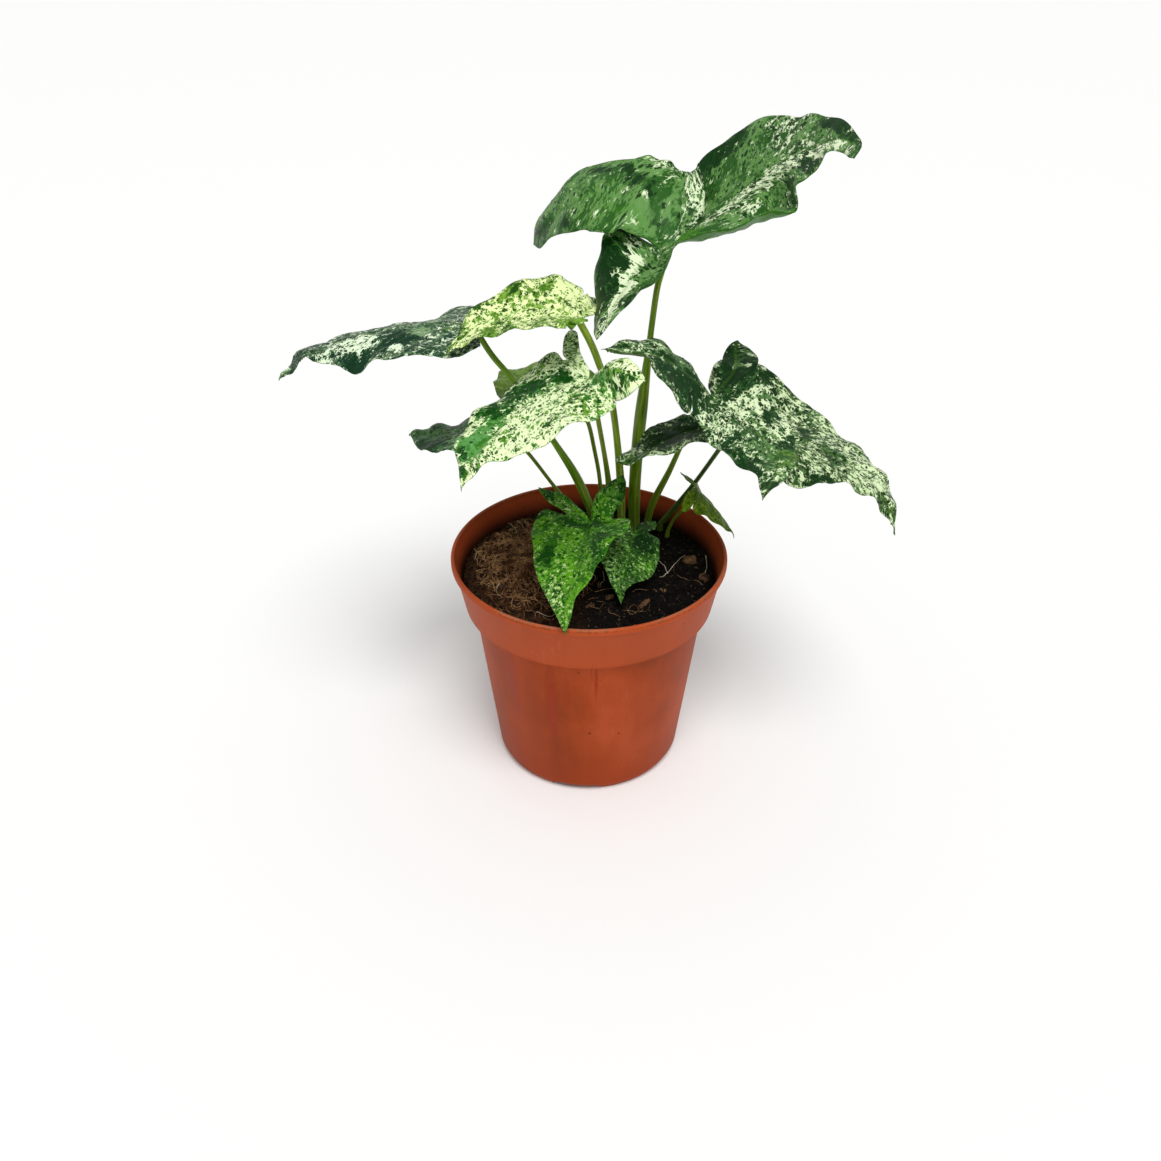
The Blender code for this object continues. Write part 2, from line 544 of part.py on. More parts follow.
def make_pot(finish):
    top = POT_HEIGHT - LIP_HEIGHT
    lip_inner = COLLAR_TOP_RADIUS - 0.2
    profile = [(0, 0), (CHANNEL_START - 2, 0), (BASE_RADIUS - 1.0, 0), (BASE_RADIUS + 0.6, 0.6),
               (BODY_FOOT_RADIUS, 4.0), (BODY_TOP_RADIUS, COLLAR_FOOT_HEIGHT - 0.6),
               (COLLAR_FOOT_RADIUS - 0.3, COLLAR_FOOT_HEIGHT), (COLLAR_FOOT_RADIUS, COLLAR_FOOT_HEIGHT + 0.5),
               (COLLAR_TOP_RADIUS, top - 1.2), (LIP_RADIUS - 0.8, top - 0.2)]
    profile += arc(LIP_RADIUS - 0.8, top + 0.6, 0.8, -60, 0, 2)
    profile += arc(LIP_RADIUS - 0.9, POT_HEIGHT - 0.9, 0.9, 0, 90, 3)
    profile += [(lip_inner + 0.6, POT_HEIGHT), (lip_inner, POT_HEIGHT - 0.8)]
    profile += pot_inside() + [(DRAIN_CIRCLE, FLOOR), (0, FLOOR)]
    pot = turned("pot", profile, POT_SIDES, finish)
    channels, channel_faces, drains, drain_faces = [], [], [], []
    reach = BODY_FOOT_RADIUS + 6 - CHANNEL_START
    for quarter in range(4):
        turn = quarter * math.pi / 2
        size = (reach, CHANNEL_WIDTH, 2 * CHANNEL_DEPTH)
        corners, faces = box_points(size, (CHANNEL_START + reach / 2, 0, 0), turn)
        channel_faces += [tuple(v + len(channels) for v in face) for face in faces]
        channels += corners
        low = len(drains)
        centre = (DRAIN_CIRCLE * math.cos(turn), DRAIN_CIRCLE * math.sin(turn))
        drains += [(x, y, height) for height in (-2.0, FLOOR + 2.0)
                   for x, y in circle(centre, DRAIN_RADIUS, DRAIN_SIDES)]
        high = low + DRAIN_SIDES
        drain_faces.append(tuple(range(high - 1, low - 1, -1)))
        drain_faces.append(tuple(range(high, high + DRAIN_SIDES)))
        for n in range(DRAIN_SIDES):
            m = (n + 1) % DRAIN_SIDES
            drain_faces.append((low + n, low + m, high + m, high + n))
    cut(pot, cutter("base_channels", channels, channel_faces))
    cut(pot, cutter("drain_holes", drains, drain_faces))
    return pot


def soil_height(x, y):
    # gently uneven surface, a little higher round the stalks
    mound = 1.6 * math.exp(-((x - 15) ** 2 + (y - 26) ** 2) / 18 ** 2)
    wave = 0.9 * math.sin(0.17 * x + 0.8) * math.cos(0.15 * y - 0.4) + 0.5 * math.sin(0.41 * x - 0.33 * y)
    return SOIL_TOP - 1.0 + mound + wave


def make_soil(finish):
    radius_at_top = np.interp(SOIL_TOP, [COLLAR_FOOT_HEIGHT, POT_HEIGHT - LIP_HEIGHT],
                              [COLLAR_FOOT_RADIUS - WALL, COLLAR_TOP_RADIUS - WALL]) - GAP - 0.4
    ring = [2 * math.pi * (n + 0.5) / SOIL_SIDES for n in range(SOIL_SIDES)]
    edge = np.array([(radius_at_top * math.cos(a), radius_at_top * math.sin(a)) for a in ring])
    holes = [circle(stalk["foot"], stalk["radius"][0] + GAP * 1.15, STALK_SIDES) for stalk in STALKS.values()]
    extra = net_points(edge, 5.5, 3.0)
    feet = np.array([stalk["foot"] for stalk in STALKS.values()])
    rims = np.array([stalk["radius"][0] for stalk in STALKS.values()])
    away = (np.linalg.norm(extra[:, None, :] - feet[None, :, :], axis=2) - rims).min(axis=1)
    flat, tris = triangles_in(edge, extra[away > 2.2], holes)
    points = [(x, y, soil_height(x, y)) for x, y in flat]
    faces = list(tris)
    rim_edges = {a: b for a, b in border(tris)}
    loops = []
    while rim_edges:
        first, follow = rim_edges.popitem()
        loop = [first]
        while follow != first:
            loop.append(follow)
            follow = rim_edges.pop(follow)
        loops.append(loop)
    for loop in loops:
        far = max(math.hypot(*flat[v]) for v in loop)
        if far > radius_at_top - 1.0:
            levels = [(radius - GAP - 0.15, height + 0.2) for radius, height in pot_inside()[1:-1]]
            levels.append((BASE_RADIUS - WALL - GAP - 0.15, FLOOR + GAP))
            below = loop
            for radius, height in levels:
                start = len(points)
                scaled = [flat[v] * radius / math.hypot(*flat[v]) for v in loop]
                points += [(x, y, height) for x, y in scaled]
                lower = list(range(start, start + len(loop)))
                for k in range(len(loop)):
                    m = (k + 1) % len(loop)
                    faces.append((below[m], below[k], lower[k], lower[m]))
                below = lower
            faces.append(tuple(reversed(below)))
        else:
            start = len(points)
            points += [(flat[v][0], flat[v][1], SOIL_TOP - STALK_DEPTH - GAP) for v in loop]
            lower = list(range(start, start + len(loop)))
            for k in range(len(loop)):
                m = (k + 1) % len(loop)
                faces.append((loop[m], loop[k], lower[k], lower[m]))
            faces.append(tuple(reversed(lower)))
    return solid("soil", points, faces, finish)


def main():
    for old in list(bpy.data.objects):
        bpy.data.objects.remove(old)
    pot_finish = material("pot", POT_COLOUR, 0.45)
    soil_finish = material("soil", SOIL_COLOUR, 0.95)
    stalk_finish = material("stalk", STALK_COLOUR, 0.45)
    for name, leaf in LEAVES.items():
        blade(name, leaf, material(name, leaf["colour"], 0.4))
        route = stalk_route(name)
        tube(name.replace("leaf", "stalk"), route, stalk_radii(name, route), stalk_finish)
    make_pot(pot_finish)
    make_soil(soil_finish)
    for made in bpy.data.objects:
        if made.name == "pot" or made.name.startswith("stalk"):
            made.data.shade_smooth()
            made.data.set_sharp_from_angle(angle=math.radians(35))


main()
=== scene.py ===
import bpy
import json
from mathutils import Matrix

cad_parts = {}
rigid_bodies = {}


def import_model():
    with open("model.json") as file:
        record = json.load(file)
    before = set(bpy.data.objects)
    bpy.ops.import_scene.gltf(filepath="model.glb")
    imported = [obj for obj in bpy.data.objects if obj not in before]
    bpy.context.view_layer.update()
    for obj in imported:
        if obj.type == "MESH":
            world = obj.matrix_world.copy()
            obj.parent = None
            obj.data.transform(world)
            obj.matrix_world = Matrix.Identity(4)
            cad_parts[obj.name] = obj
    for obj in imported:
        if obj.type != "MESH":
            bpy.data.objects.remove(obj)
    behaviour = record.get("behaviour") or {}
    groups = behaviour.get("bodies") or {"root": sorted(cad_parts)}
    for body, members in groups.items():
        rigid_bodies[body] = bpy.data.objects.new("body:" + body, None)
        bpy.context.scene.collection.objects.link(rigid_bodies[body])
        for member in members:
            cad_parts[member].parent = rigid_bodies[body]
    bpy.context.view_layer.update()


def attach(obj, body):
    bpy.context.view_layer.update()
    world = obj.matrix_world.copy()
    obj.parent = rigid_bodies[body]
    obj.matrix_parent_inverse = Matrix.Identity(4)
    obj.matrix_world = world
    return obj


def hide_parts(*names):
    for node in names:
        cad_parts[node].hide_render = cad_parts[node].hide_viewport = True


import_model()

import json
import math

import bmesh
import bpy
import numpy as np
from mathutils import Vector, noise
from mathutils.geometry import delaunay_2d_cdt

mm = 0.001

# The picture's own view. A place in the picture is (column, row) in a square of this many pixels.
view = dict(pixels=1161, lens=37.1, sensor=36.0, place=(-3.7, -441.0, 380.0), tilt=56.4)     # mm, degrees


def viewAxes():
    tilt = math.radians(view["tilt"])
    return (np.array([1.0, 0.0, 0.0]), np.array([0.0, math.cos(tilt), math.sin(tilt)]),
            np.array([0.0, math.sin(tilt), -math.cos(tilt)]))


def viewRays(seen):
    # directions towards places in the picture, each one unit deep
    right, up, ahead = viewAxes()
    offset = (np.atleast_2d(seen) / view["pixels"] - 0.5) * view["sensor"] / view["lens"]
    return ahead + offset[:, :1] * right - offset[:, 1:] * up


def onLevel(column, row, height):
    # the point at this height that shows at a place in the picture
    ray = viewRays((column, row))[0]
    return np.array(view["place"]) + ray * (height - view["place"][2]) / ray[2]


# Shader building

class Wire:
    # a socket that takes part in Python sums and products; each operation adds a Math node
    def __init__(self, finish, socket):
        self.finish, self.socket = finish, socket

    def math(self, operation, *others, swap=False):
        values = [self, *others]
        if swap:
            values.reverse()
        return self.finish.add("ShaderNodeMath", dict(operation=operation), dict(enumerate(values)))

    def __add__(self, other): return self.math("ADD", other)
    def __radd__(self, other): return self.math("ADD", other)
    def __sub__(self, other): return self.math("SUBTRACT", other)
    def __rsub__(self, other): return self.math("SUBTRACT", other, swap=True)
    def __mul__(self, other): return self.math("MULTIPLY", other)
    def __rmul__(self, other): return self.math("MULTIPLY", other)
    def __truediv__(self, other): return self.math("DIVIDE", other)
    def __pow__(self, other): return self.math("POWER", other)


class Finish:
    # one material; its nodes come from add()
    def __init__(self, name, roughness=0.5, specular=0.5):
        self.material = bpy.data.materials.new(name)
        self.material.use_nodes = True
        self.tree = self.material.node_tree
        self.skin = self.tree.nodes["Principled BSDF"]
        self.skin.inputs["Roughness"].default_value = roughness
        self.skin.inputs["Specular IOR Level"].default_value = specular

    def add(self, kind, settings=None, inputs=None, output=0):
        node = self.tree.nodes.new(kind)
        for key, value in (settings or {}).items():
            if key == "stops":
                ramp = node.color_ramp
                while len(ramp.elements) < len(value):
                    ramp.elements.new(0.5)
                for element, (place, colour) in zip(ramp.elements, value):
                    element.position, element.color = place, (*colour, 1.0)
            else:
                setattr(node, key, value)
        for key, value in (inputs or {}).items():
            socket = node.inputs[key] if isinstance(key, int) else next(
                s for s in node.inputs if key in (s.identifier, s.name) and s.enabled)
            self.feed(socket, value)
        found = node.outputs[output] if isinstance(output, int) else next(
            s for s in node.outputs if output in (s.identifier, s.name))
        return Wire(self, found)

    def feed(self, socket, value):
        if isinstance(value, Wire):
            self.tree.links.new(value.socket, socket)
        elif isinstance(value, tuple) and len(value) == 3 and socket.type == "RGBA":
            socket.default_value = (*value, 1.0)
        else:
            socket.default_value = value

    def mix(self, first, second, amount):
        return self.add("ShaderNodeMix", dict(data_type="RGBA"),
                        dict(Factor_Float=amount, A_Color=first, B_Color=second), "Result_Color")

    def between(self, value, low, high):
        # 0 below low, 1 above high, smooth between
        return self.add("ShaderNodeMapRange", dict(interpolation_type="SMOOTHSTEP"),
                        {"Value": value, "From Min": low, "From Max": high})

    def noise(self, where, scale, detail=2.0, rough=0.5, distortion=0.0):
        return self.add("ShaderNodeTexNoise", None, dict(Vector=where, Scale=scale, Detail=detail,
                                                         Roughness=rough, Distortion=distortion))

    def stretch(self, where, scale, shift=(0.0, 0.0, 0.0)):
        moved = self.add("ShaderNodeVectorMath", dict(operation="ADD"), {0: where, 1: shift})
        return self.add("ShaderNodeVectorMath", dict(operation="MULTIPLY"), {0: moved, 1: scale})

    def attribute(self, name, output="Fac"):
        return self.add("ShaderNodeAttribute", dict(attribute_name=name), None, output)

    def objectPlace(self):
        return self.add("ShaderNodeTexCoord", None, None, "Object")

    def uv(self, name):
        return self.add("ShaderNodeUVMap", dict(uv_map=name))

    def parts(self, vector):
        split = self.add("ShaderNodeSeparateXYZ", None, {0: vector})
        return [Wire(self, s) for s in split.socket.node.outputs]

    def bump(self, height, distance, strength=1.0, before=None):
        inputs = dict(Strength=strength, Distance=distance, Height=height)
        if before:
            inputs["Normal"] = before
        return self.add("ShaderNodeBump", None, inputs)

    def finish(self, colour, roughness=None, normal=None):
        self.feed(self.skin.inputs["Base Color"], colour)
        if roughness is not None:
            self.feed(self.skin.inputs["Roughness"], roughness)
        if normal is not None:
            self.feed(self.skin.inputs["Normal"], normal)
        return self.material


# Leaves

# Each blade is given flat and then bent: at is where its stalk meets it, heading is 0 to +X and 90 to +Y, and
# pairs are (left half, right half). Lift, droop and turn, in degrees, run left hind lobe, left waist, left
# side, tip, right side, right waist, right hind lobe. A ruffle is (height, wavelength, phase). Each pull
# shifts the blade round one of its flat points: (x, y, radius, mm to +X, mm upwards and leaning back).
# A pin holds a flat point at a place in the picture: (x, y, column, row, mm nearer).
leafForms = {
    "leaf_top": dict(
        at=(29, 3.5, 235), heading=9, pitch=38, roll=-8, length=92.5,
        width=(33.5, 34), waist=(0.87, 0.81), lobe=(83.5, 43.5),
        lobeAngle=(128, 161), lobeWidth=(0.51, 0.75),
        lift=(59, 20, 6, 0, 6, 25, 6), droop=(116, 35, -8, -24, 13, 8, 37),
        turn=(-1, 50, 4, 0, -4, -13, 2), sweep=42,
        ruffle=(0.2, 17, 0.5), parting=217,
        inner={0: [(-0.16, 0.80), (-0.20, 0.52), (-0.06, 0.20)],
               1: [(-0.24, 0.90), (-0.47, 0.66), (-0.50, 0.42), (-0.36, 0.22), (-0.15, 0.1)]},
        sinus=(-0.64, -0.8),
        pulls=[],
        pins=[(0, 0, 664.5, 248, 0), (0, 10, 688, 233, 0), (0, 20, 711, 217, 0), (0, 40, 755, 182, 0),
               (0, 60, 800, 152, 0), (0, 74, 830, 141.5, 0), (0, 82, 846, 141, 0), (0, 88, 857, 148, 0),
               (0, 92.5, 854, 158.5, 1), (5.4, 81.8, 836, 151, 0), (3.3, 85.3, 843, 153, 0),
               (1.5, 88.8, 848.5, 157.5, 1), (-5.3, 81.8, 851, 126, 0), (-3.3, 85.3, 858, 136, 0),
               (-1.5, 88.8, 862, 146, 0), (9.8, 75.2, 826, 153, 0), (12.1, 72, 822, 161, 0),
               (16.6, 65.4, 811, 175, 0), (18.7, 62, 803, 181, 0), (20.7, 58.6, 797, 184, 0),
               (24.6, 51.6, 796.5, 194, 1), (26.4, 48, 798, 203, 2), (28, 44.4, 796, 211.5, 3),
               (30.6, 36.8, 774, 210.5, 7), (32.7, 29.1, 754, 218, 7), (34.3, 20, 730, 229, 6),
               (33, 11.5, 708, 231.5, 4), (31.3, 5.8, 692, 236, 2), (27.8, -1.4, 680, 242, 1),
               (25, 8, 699, 241, 0), (26, 18, 724, 234.5, 0), (26.5, 27, 748, 227, 0), (26, 34, 766, 221, 0),
               (25, 41, 784, 215.5, 0), (14, 30, 760, 197, 0), (12, 15, 712, 226, 0), (14, 45, 785, 183, 0),
               (-7.4, 78.4, 842, 119, 0), (-9.7, 75.1, 833, 117.5, 0), (-12, 71.9, 825, 116.5, 0),
               (-14.3, 68.6, 816.7, 113.5, 0), (-16.4, 65.2, 808, 114, 0), (-18.5, 61.8, 800, 117.5, 0),
               (-20.5, 58.4, 790, 116, 0), (-24.4, 51.4, 768, 116, 0), (-27.7, 44.1, 750, 124, 0),
               (-30.2, 36.5, 731, 137, 0), (-32.2, 28.8, 711, 151, 0), (-33, 24.9, 702, 159, -1),
               (-33.7, 19.5, 697, 166, -1), (-32.8, 12, 693.5, 170.5, 1), (-30.6, 3.3, 688, 171.5, 2),
               (-30, 17, 699, 175, 2), (-24, 14, 704.5, 190, 3), (-17, 10, 704.5, 210, 3),
               (-10.5, 6, 697, 226, 2), (-4.3, 2.5, 679, 241, 0), (-27.6, 4.9, 692, 186, 2),
               (-19.7, 3.5, 690, 205, 2), (-11.8, 2.1, 684, 225, 1), (-19.8, 19.8, 700, 194, -3),
               (-14.1, 14.1, 698, 212, -3), (-8.5, 8.5, 693, 229, -2), (-16, 24, 712, 190, -1),
               (-20.6, 29.5, 719, 168, -1), (-65.3, -47.4, 535, 228, 0), (-63.6, -39.7, 542, 214, 0),
               (-59.9, -32.6, 554, 198, 0), (-55.5, -26, 571, 177, 0), (-50.3, -19.9, 594, 165.5, 0),
               (-44.3, -14.7, 620, 160, 0), (-41.1, -12.3, 636, 159, 0), (-37.9, -9.9, 649, 155, 1),
               (-34.6, -7.6, 659, 160, 0), (-32.3, -5.7, 671, 160.5, 0), (-30.2, -4.1, 676, 168, 0),
               (-28.3, -2.5, 682, 171.5, 1), (-65.8, -51.4, 533.5, 245, 0), (-58, -49.6, 539, 248.5, 0),
               (-50.3, -47.3, 546, 242, 0), (-39.7, -41.6, 557, 235, 0), (-30.1, -34.4, 573, 232, 0),
               (-22, -25.6, 590, 231.5, 0), (-18, -20.5, 601, 232.5, 0), (-14.7, -16.1, 613, 233, 0),
               (-11.2, -11.7, 628, 233, 0), (-9, -9.4, 636, 233.5, 0), (-4.8, -5.1, 650, 240, 0),
               (-2.7, -2.9, 658, 245, 0), (-15.8, -12.3, 634, 209, 0), (-31.5, -24.6, 598, 196, 0),
               (-47.3, -37, 562, 212, 0), (8.2, -40.5, 594, 333, 0), (1, -37.1, 594.5, 318, 0),
               (-2.3, -34.8, 597, 307, 0), (-5.2, -32.1, 595.5, 296, 0), (-7.4, -28.8, 594.5, 285, 0),
               (-8.9, -25.1, 594.5, 273, 0), (-9.6, -21.2, 600, 263, 0), (-9.5, -19, 608, 257.5, 0),
               (-9.2, -17, 606, 250, -1), (-8.2, -13.6, 609, 240, -2), (-7, -10.9, 620, 233, -3),
               (-5.2, -8.4, 634, 235, -3), (-3.4, -6.1, 643, 240.5, -2), (-2, -3.5, 652, 245.5, -1),
               (24.8, -3.9, 676, 245.5, 1), (21.1, -5.3, 672.5, 250, 1), (17.4, -6.7, 671, 256, 1),
               (15.2, -9.7, 668, 264, 0), (16.3, -13.5, 664, 272, 0), (18.1, -17, 657, 281, 0),
               (19.7, -20.7, 648, 286, 0), (20, -24.7, 640, 291, 0), (19.8, -28.6, 632, 301, 0),
               (19, -32.6, 621, 311, 0), (17.7, -36.3, 609, 325, 0), (15.3, -39.5, 600, 336, 0),
               (3.6, -10.4, 646, 262, 0), (7.2, -20.8, 629, 284, 0), (10.7, -31.2, 612, 311, 0)]),
    "leaf_cream": dict(
        at=(-4.5, -5, 210.5), heading=178, pitch=5, roll=-2, length=54,
        width=(21.5, 24), waist=(0.85, 0.79), lobe=(29.5, 28),
        lobeAngle=(102, 117), lobeWidth=(0.6, 0.57),
        lift=(17, 14, 8, 0, 18, 14, 4), droop=(12, 15, 19, 34, 14, 14, 23),
        turn=(15, 5, 3, 0, 5, -1, -8), sweep=-15,
        ruffle=(0.8, 15, 0),
        pulls=[(-8, 41, 8, -1, 1.5), (-27, -8, 11, -2, 1), (9, 41, 8, -1.5, 2), (24, 5, 8, -0.5, 1.5)]),
    "leaf_far_left": dict(
        at=(-47, 15, 201), heading=176, pitch=-3, roll=-8, length=86.5,
        width=(30.5, 34), waist=(0.84, 0.88), lobe=(15, 22),
        lobeAngle=(152, 135), lobeWidth=(0.6, 0.6),
        lift=(-9, -10, -6, 0, -4, 9, 8), droop=(22, 16, 23, 12, 21, 18, 19),
        turn=(0, -8, 6, 0, 8, 13, -4), sweep=-42,
        ruffle=(1.2, 19, 1),
        pulls=[(0, 79, 14, 1.5, 2), (-12, 66, 12, -2.5, 3), (-23, 47, 12, 0, -4), (-30, 28, 12, -2, 2),
               (-30, 9, 12, 1, 1), (34, 9, 12, 2, 1)]),
    "leaf_front_left": dict(
        at=(-1.5, -24.5, 193.5), heading=208, pitch=-15, roll=1, length=71,
        width=(26, 28.5), waist=(0.85, 0.85), lobe=(32, 38.5),
        lobeAngle=(119, 119), lobeWidth=(0.75, 0.35),
        lift=(23, 2, 7, 0, -2, 6, 7), droop=(30, 22, 16, 5, 12, 19, 23),
        turn=(5, 0, -1, 0, 2, 0, -9), sweep=-20,
        ruffle=(0.8, 18, 0),
        pulls=[(0, 65, 11, 1, 2), (-10, 54, 10, -1.5, 1), (-19, 38, 10, -1, -2), (-25, 23, 10, 0.5, 2),
               (-14, -8, 11, -2, 2.5), (-26, -15, 14, -0.5, -2), (-14, -15, 10, -0.5, 1.5),
               (11, 54, 10, -2, 1.5), (21, 38, 10, -1.5, 0.5), (28, 23, 10, 1.5, -2),
               (17, -9, 11, -3.5, 0), (32, -18, 14, 0.5, 1.5)]),
    "leaf_low_left": dict(
        at=(-37, 7.5, 158), heading=161, pitch=-11, roll=-1, length=51,
        width=(22.5, 20), waist=(0.85, 0.85), lobe=(27, 15),
        lobeAngle=(139, 132), lobeWidth=(0.6, 0.6),
        lift=(8, 10, 4, 0, 2, 5, 3), droop=(18, 18, 22, 21, 16, 17, 18),
        turn=(0, 0, 0, 0, 0, 0, 0), sweep=10,
        ruffle=(0.8, 14, 0),
        pulls=[(0, 47, 8, -1, 3.5), (8, 39, 7, -1, 2), (15, 28, 7, 0.5, -1.5), (11, -10, 10, -2.5, 0.5),
               (6, -10, 7, -1.5, 0)]),
    "leaf_back_left": dict(
        at=(-10, 24, 164), heading=134, pitch=7, roll=8, length=47.5,
        width=(22, 20), waist=(0.85, 0.85), lobe=(16, 12),
        lobeAngle=(134, 141), lobeWidth=(0.6, 0.6),
        lift=(3, 7, 5, 0, 7, 7, 1), droop=(21, 18, 19, 25, 17, 18, 22),
        turn=(3, 0, -3, 0, 1, 0, 0), sweep=2,
        ruffle=(0.6, 15, 0),
        pulls=[(-8, 36, 7, -1.5, 0.5)]),
    "leaf_front_right": dict(
        at=(48.5, -4, 176), heading=-50, pitch=-19, roll=10, length=60.5,
        width=(23.5, 17), waist=(0.96, 0.82), lobe=(35, 58.5),
        lobeAngle=(111, 117), lobeWidth=(0.5, 0.73),
        lift=(20, 33, 10, 0, -2, 18, 41), droop=(15, 5, 7, 5, 6, -16, 54),
        turn=(-10, 5, -8, 0, -2, 6, -2), sweep=23,
        ruffle=(0.8, 17, 1),
        pulls=[(0, 56, 10, -2, 2), (-9, 46, 8, 1, 1.5), (-23, 19, 8, -1.5, -0.5), (-24, 6, 8, -1.5, 2),
               (-16, -7, 10, 3.5, 0), (-31, -12, 12, -0.5, 2.5), (7, 46, 8, 1.5, 1), (17, 19, 8, -1, -1),
               (17, 6, 8, 1, -3.5), (26, -21, 8, 1.5, 1.5)]),
    "leaf_far_right": dict(
        at=(60.5, 8, 159), heading=-17, pitch=-5, roll=-8, length=86,
        width=(37, 37), waist=(1.04, 0.86), lobe=(42.5, 53.5),
        lobeAngle=(121, 147), lobeWidth=(0.67, 0.81),
        lift=(11, 18, -6, 0, 5, 17, 5), droop=(15, 12, 16, 3, 7, 13, 48),
        turn=(8, -4, 4, 0, -14, -1, 1), sweep=32,
        ruffle=(1.1, 19, 0),
        pulls=[(0, 79, 14, -1.5, 0.5), (-37, 9, 12, -1.5, 0), (-35, -21, 17, 1, 0.5),
               (14, 65, 12, 1.5, 1), (28, 46, 12, 1, 2), (36, 28, 12, 0.5, -3), (27, -43, 17, 1, -2),
               (14, -34, 12, 1.5, -1)]),
    "leaf_low_front": dict(
        at=(0.5, -6.5, 120.5), heading=-105, pitch=-2, roll=-10, length=63,
        width=(21, 23.5), waist=(0.83, 0.88), lobe=(26, 31),
        lobeAngle=(145, 124), lobeWidth=(0.72, 0.45),
        lift=(31, 7, 13, 0, 9, 20, 24), droop=(23, 20, 14, 26, 18, 17, 22),
        turn=(-4, 2, 11, 0, -6, 1, -5), sweep=-3,
        ruffle=(0.5, 16, 0),
        pulls=[(-8, 48, 9, -2, 1), (-9, -10, 10, -1.5, -0.5), (23, 20, 9, 1.5, 0.5)]),
    "leaf_low_small": dict(
        at=(19.5, 2.5, 109.5), heading=-101, pitch=-2, roll=14, length=39.5,
        width=(14, 16.5), waist=(0.84, 0.85), lobe=(17, 15.5),
        lobeAngle=(146, 133), lobeWidth=(0.6, 0.6),
        lift=(14, 12, 1, 0, 8, 14, 10), droop=(28, 20, 22, 30, 19, 19, 29),
        turn=(-3, 1, 1, 0, -1, 0, -3), sweep=-5,
        ruffle=(0.4, 12, 0),
        pulls=[(-5, 30, 6, -2.5, 0.5), (-10, 21, 6, 1, -1), (-14, 4, 6, -1.5, 0),
               (-9, -13, 8, -1.5, -1.5), (11, -10, 8, 0, -3)]),
    "leaf_pale": dict(
        at=(47, 13, 126), heading=-18, pitch=-40, roll=9, length=28,
        width=(12, 12.5), waist=(0.85, 0.86), lobe=(12.5, 14),
        lobeAngle=(140, 113), lobeWidth=(0.6, 0.61),
        lift=(-8, -8, -20, 0, -1, -4, -13), droop=(21, 21, 24, 11, 18, 23, 28),
        turn=(0, 0, 0, 0, 0, -5, -8), sweep=19,
        ruffle=(0.3, 10, 0),
        pulls=[(0, 26, 4, 0, 2), (-9, 15, 4, -1, -1), (-12, 9, 4, -1.5, -0.5), (13, 3, 4, -1, -2),
               (12, -5, 6, 0.5, -4)]),
}


stalkForms = {
    "leaf_top": dict(foot=(21, 29.5), radius=(2.6, 1.2), sheath=0.62,
                     through=[(20.5, 27, 117), (21, 22, 142), (22.5, 16, 170), (25.5, 9, 212.5),
                              (27.5, 6, 225.5)]),
    "leaf_cream": dict(foot=(15, 27), radius=(1.8, 1.4), sheath=0.4,
                       through=[(14, 24, 124.5), (9.5, 12, 166.5), (3.5, 3, 189), (0, -1, 199.5)]),
    "leaf_far_left": dict(foot=(5, 28), radius=(2.0, 1.2), sheath=0.45,
                          through=[(-5, 18, 128), (-15.5, 9, 152), (-29.5, 3, 179.5), (-39.5, 8, 190.5)]),
    "leaf_front_left": dict(foot=(10.5, 33), radius=(1.4, 1.0), sheath=0.4,
                            through=[(8.5, 20, 126.5), (3.5, -2, 166), (1, -14, 183)]),
    "leaf_low_left": dict(foot=(-2.5, 33), radius=(1.2, 0.8), sheath=0.3,
                          through=[(-9, 27, 110.5), (-15.5, 23, 122), (-26, 15.5, 142), (-33, 10, 152.5)]),
    "leaf_back_left": dict(foot=(6.5, 38.5), radius=(1.2, 0.9), sheath=0.3,
                           through=[(5, 34, 119), (2.5, 31, 135.5), (-0.5, 27, 151), (-5, 25, 158.5)]),
    "leaf_front_right": dict(foot=(26.5, 31.5), radius=(1.6, 1.1), sheath=0.4,
                             through=[(29, 27.5, 111), (35.5, 23, 130), (41, 21, 147), (44.5, 20, 158),
                                      (47, 17.5, 166), (48.5, 9, 172)]),
    "leaf_far_right": dict(foot=(33, 33.5), radius=(1.4, 1.0), sheath=0.4,
                           through=[(40, 32, 106.5), (48, 28.5, 121.5), (56, 18, 143)]),
    "leaf_low_front": dict(foot=(5, 20), radius=(1.3, 1.0), sheath=0.3,
                           through=[(3, 13, 106), (0.5, 3, 114.5)]),
    "leaf_low_small": dict(foot=(20.5, 19.5), radius=(1.1, 0.8), sheath=0.3,
                           through=[(20.5, 13, 101)]),
    "leaf_pale": dict(foot=(36, 26.5), radius=(1.0, 0.7), sheath=0.3,
                      through=[(38, 24.5, 103), (43, 19.5, 114)]),
}


bladeMake = dict(
    thickness=0.45,        # mm
    marginStep=1.25, netStep=1.35,
    mainHalf=[(0, 1), (0.05, 0.955), (0.20, 0.86), (0.50, 0.70), (0.80, 0.50), (0.97, 0.30), (1.0, 0.17)],
    lobeOuter=[(0.36, 0.30), (0.36, 0.62), (0.20, 0.88)],
    lobeInner=[(-0.20, 0.80), (-0.30, 0.52), (-0.20, 0.22)],
    waistHeight=-0.02, sinus=(0.0, -1.0),
    keyAngles=(48.0, 95.0),            # directions from the tip where lift, droop and turn are given
    pullLean=math.radians(33.6),
    ribGroove=0.45, ribWidth=0.8,      # the sunken midrib
    puff=0.5, veinSpacing=7.5,        # the blade swells between its side veins
    veinLean=34.0)         # degrees, from square to the rib towards its tip


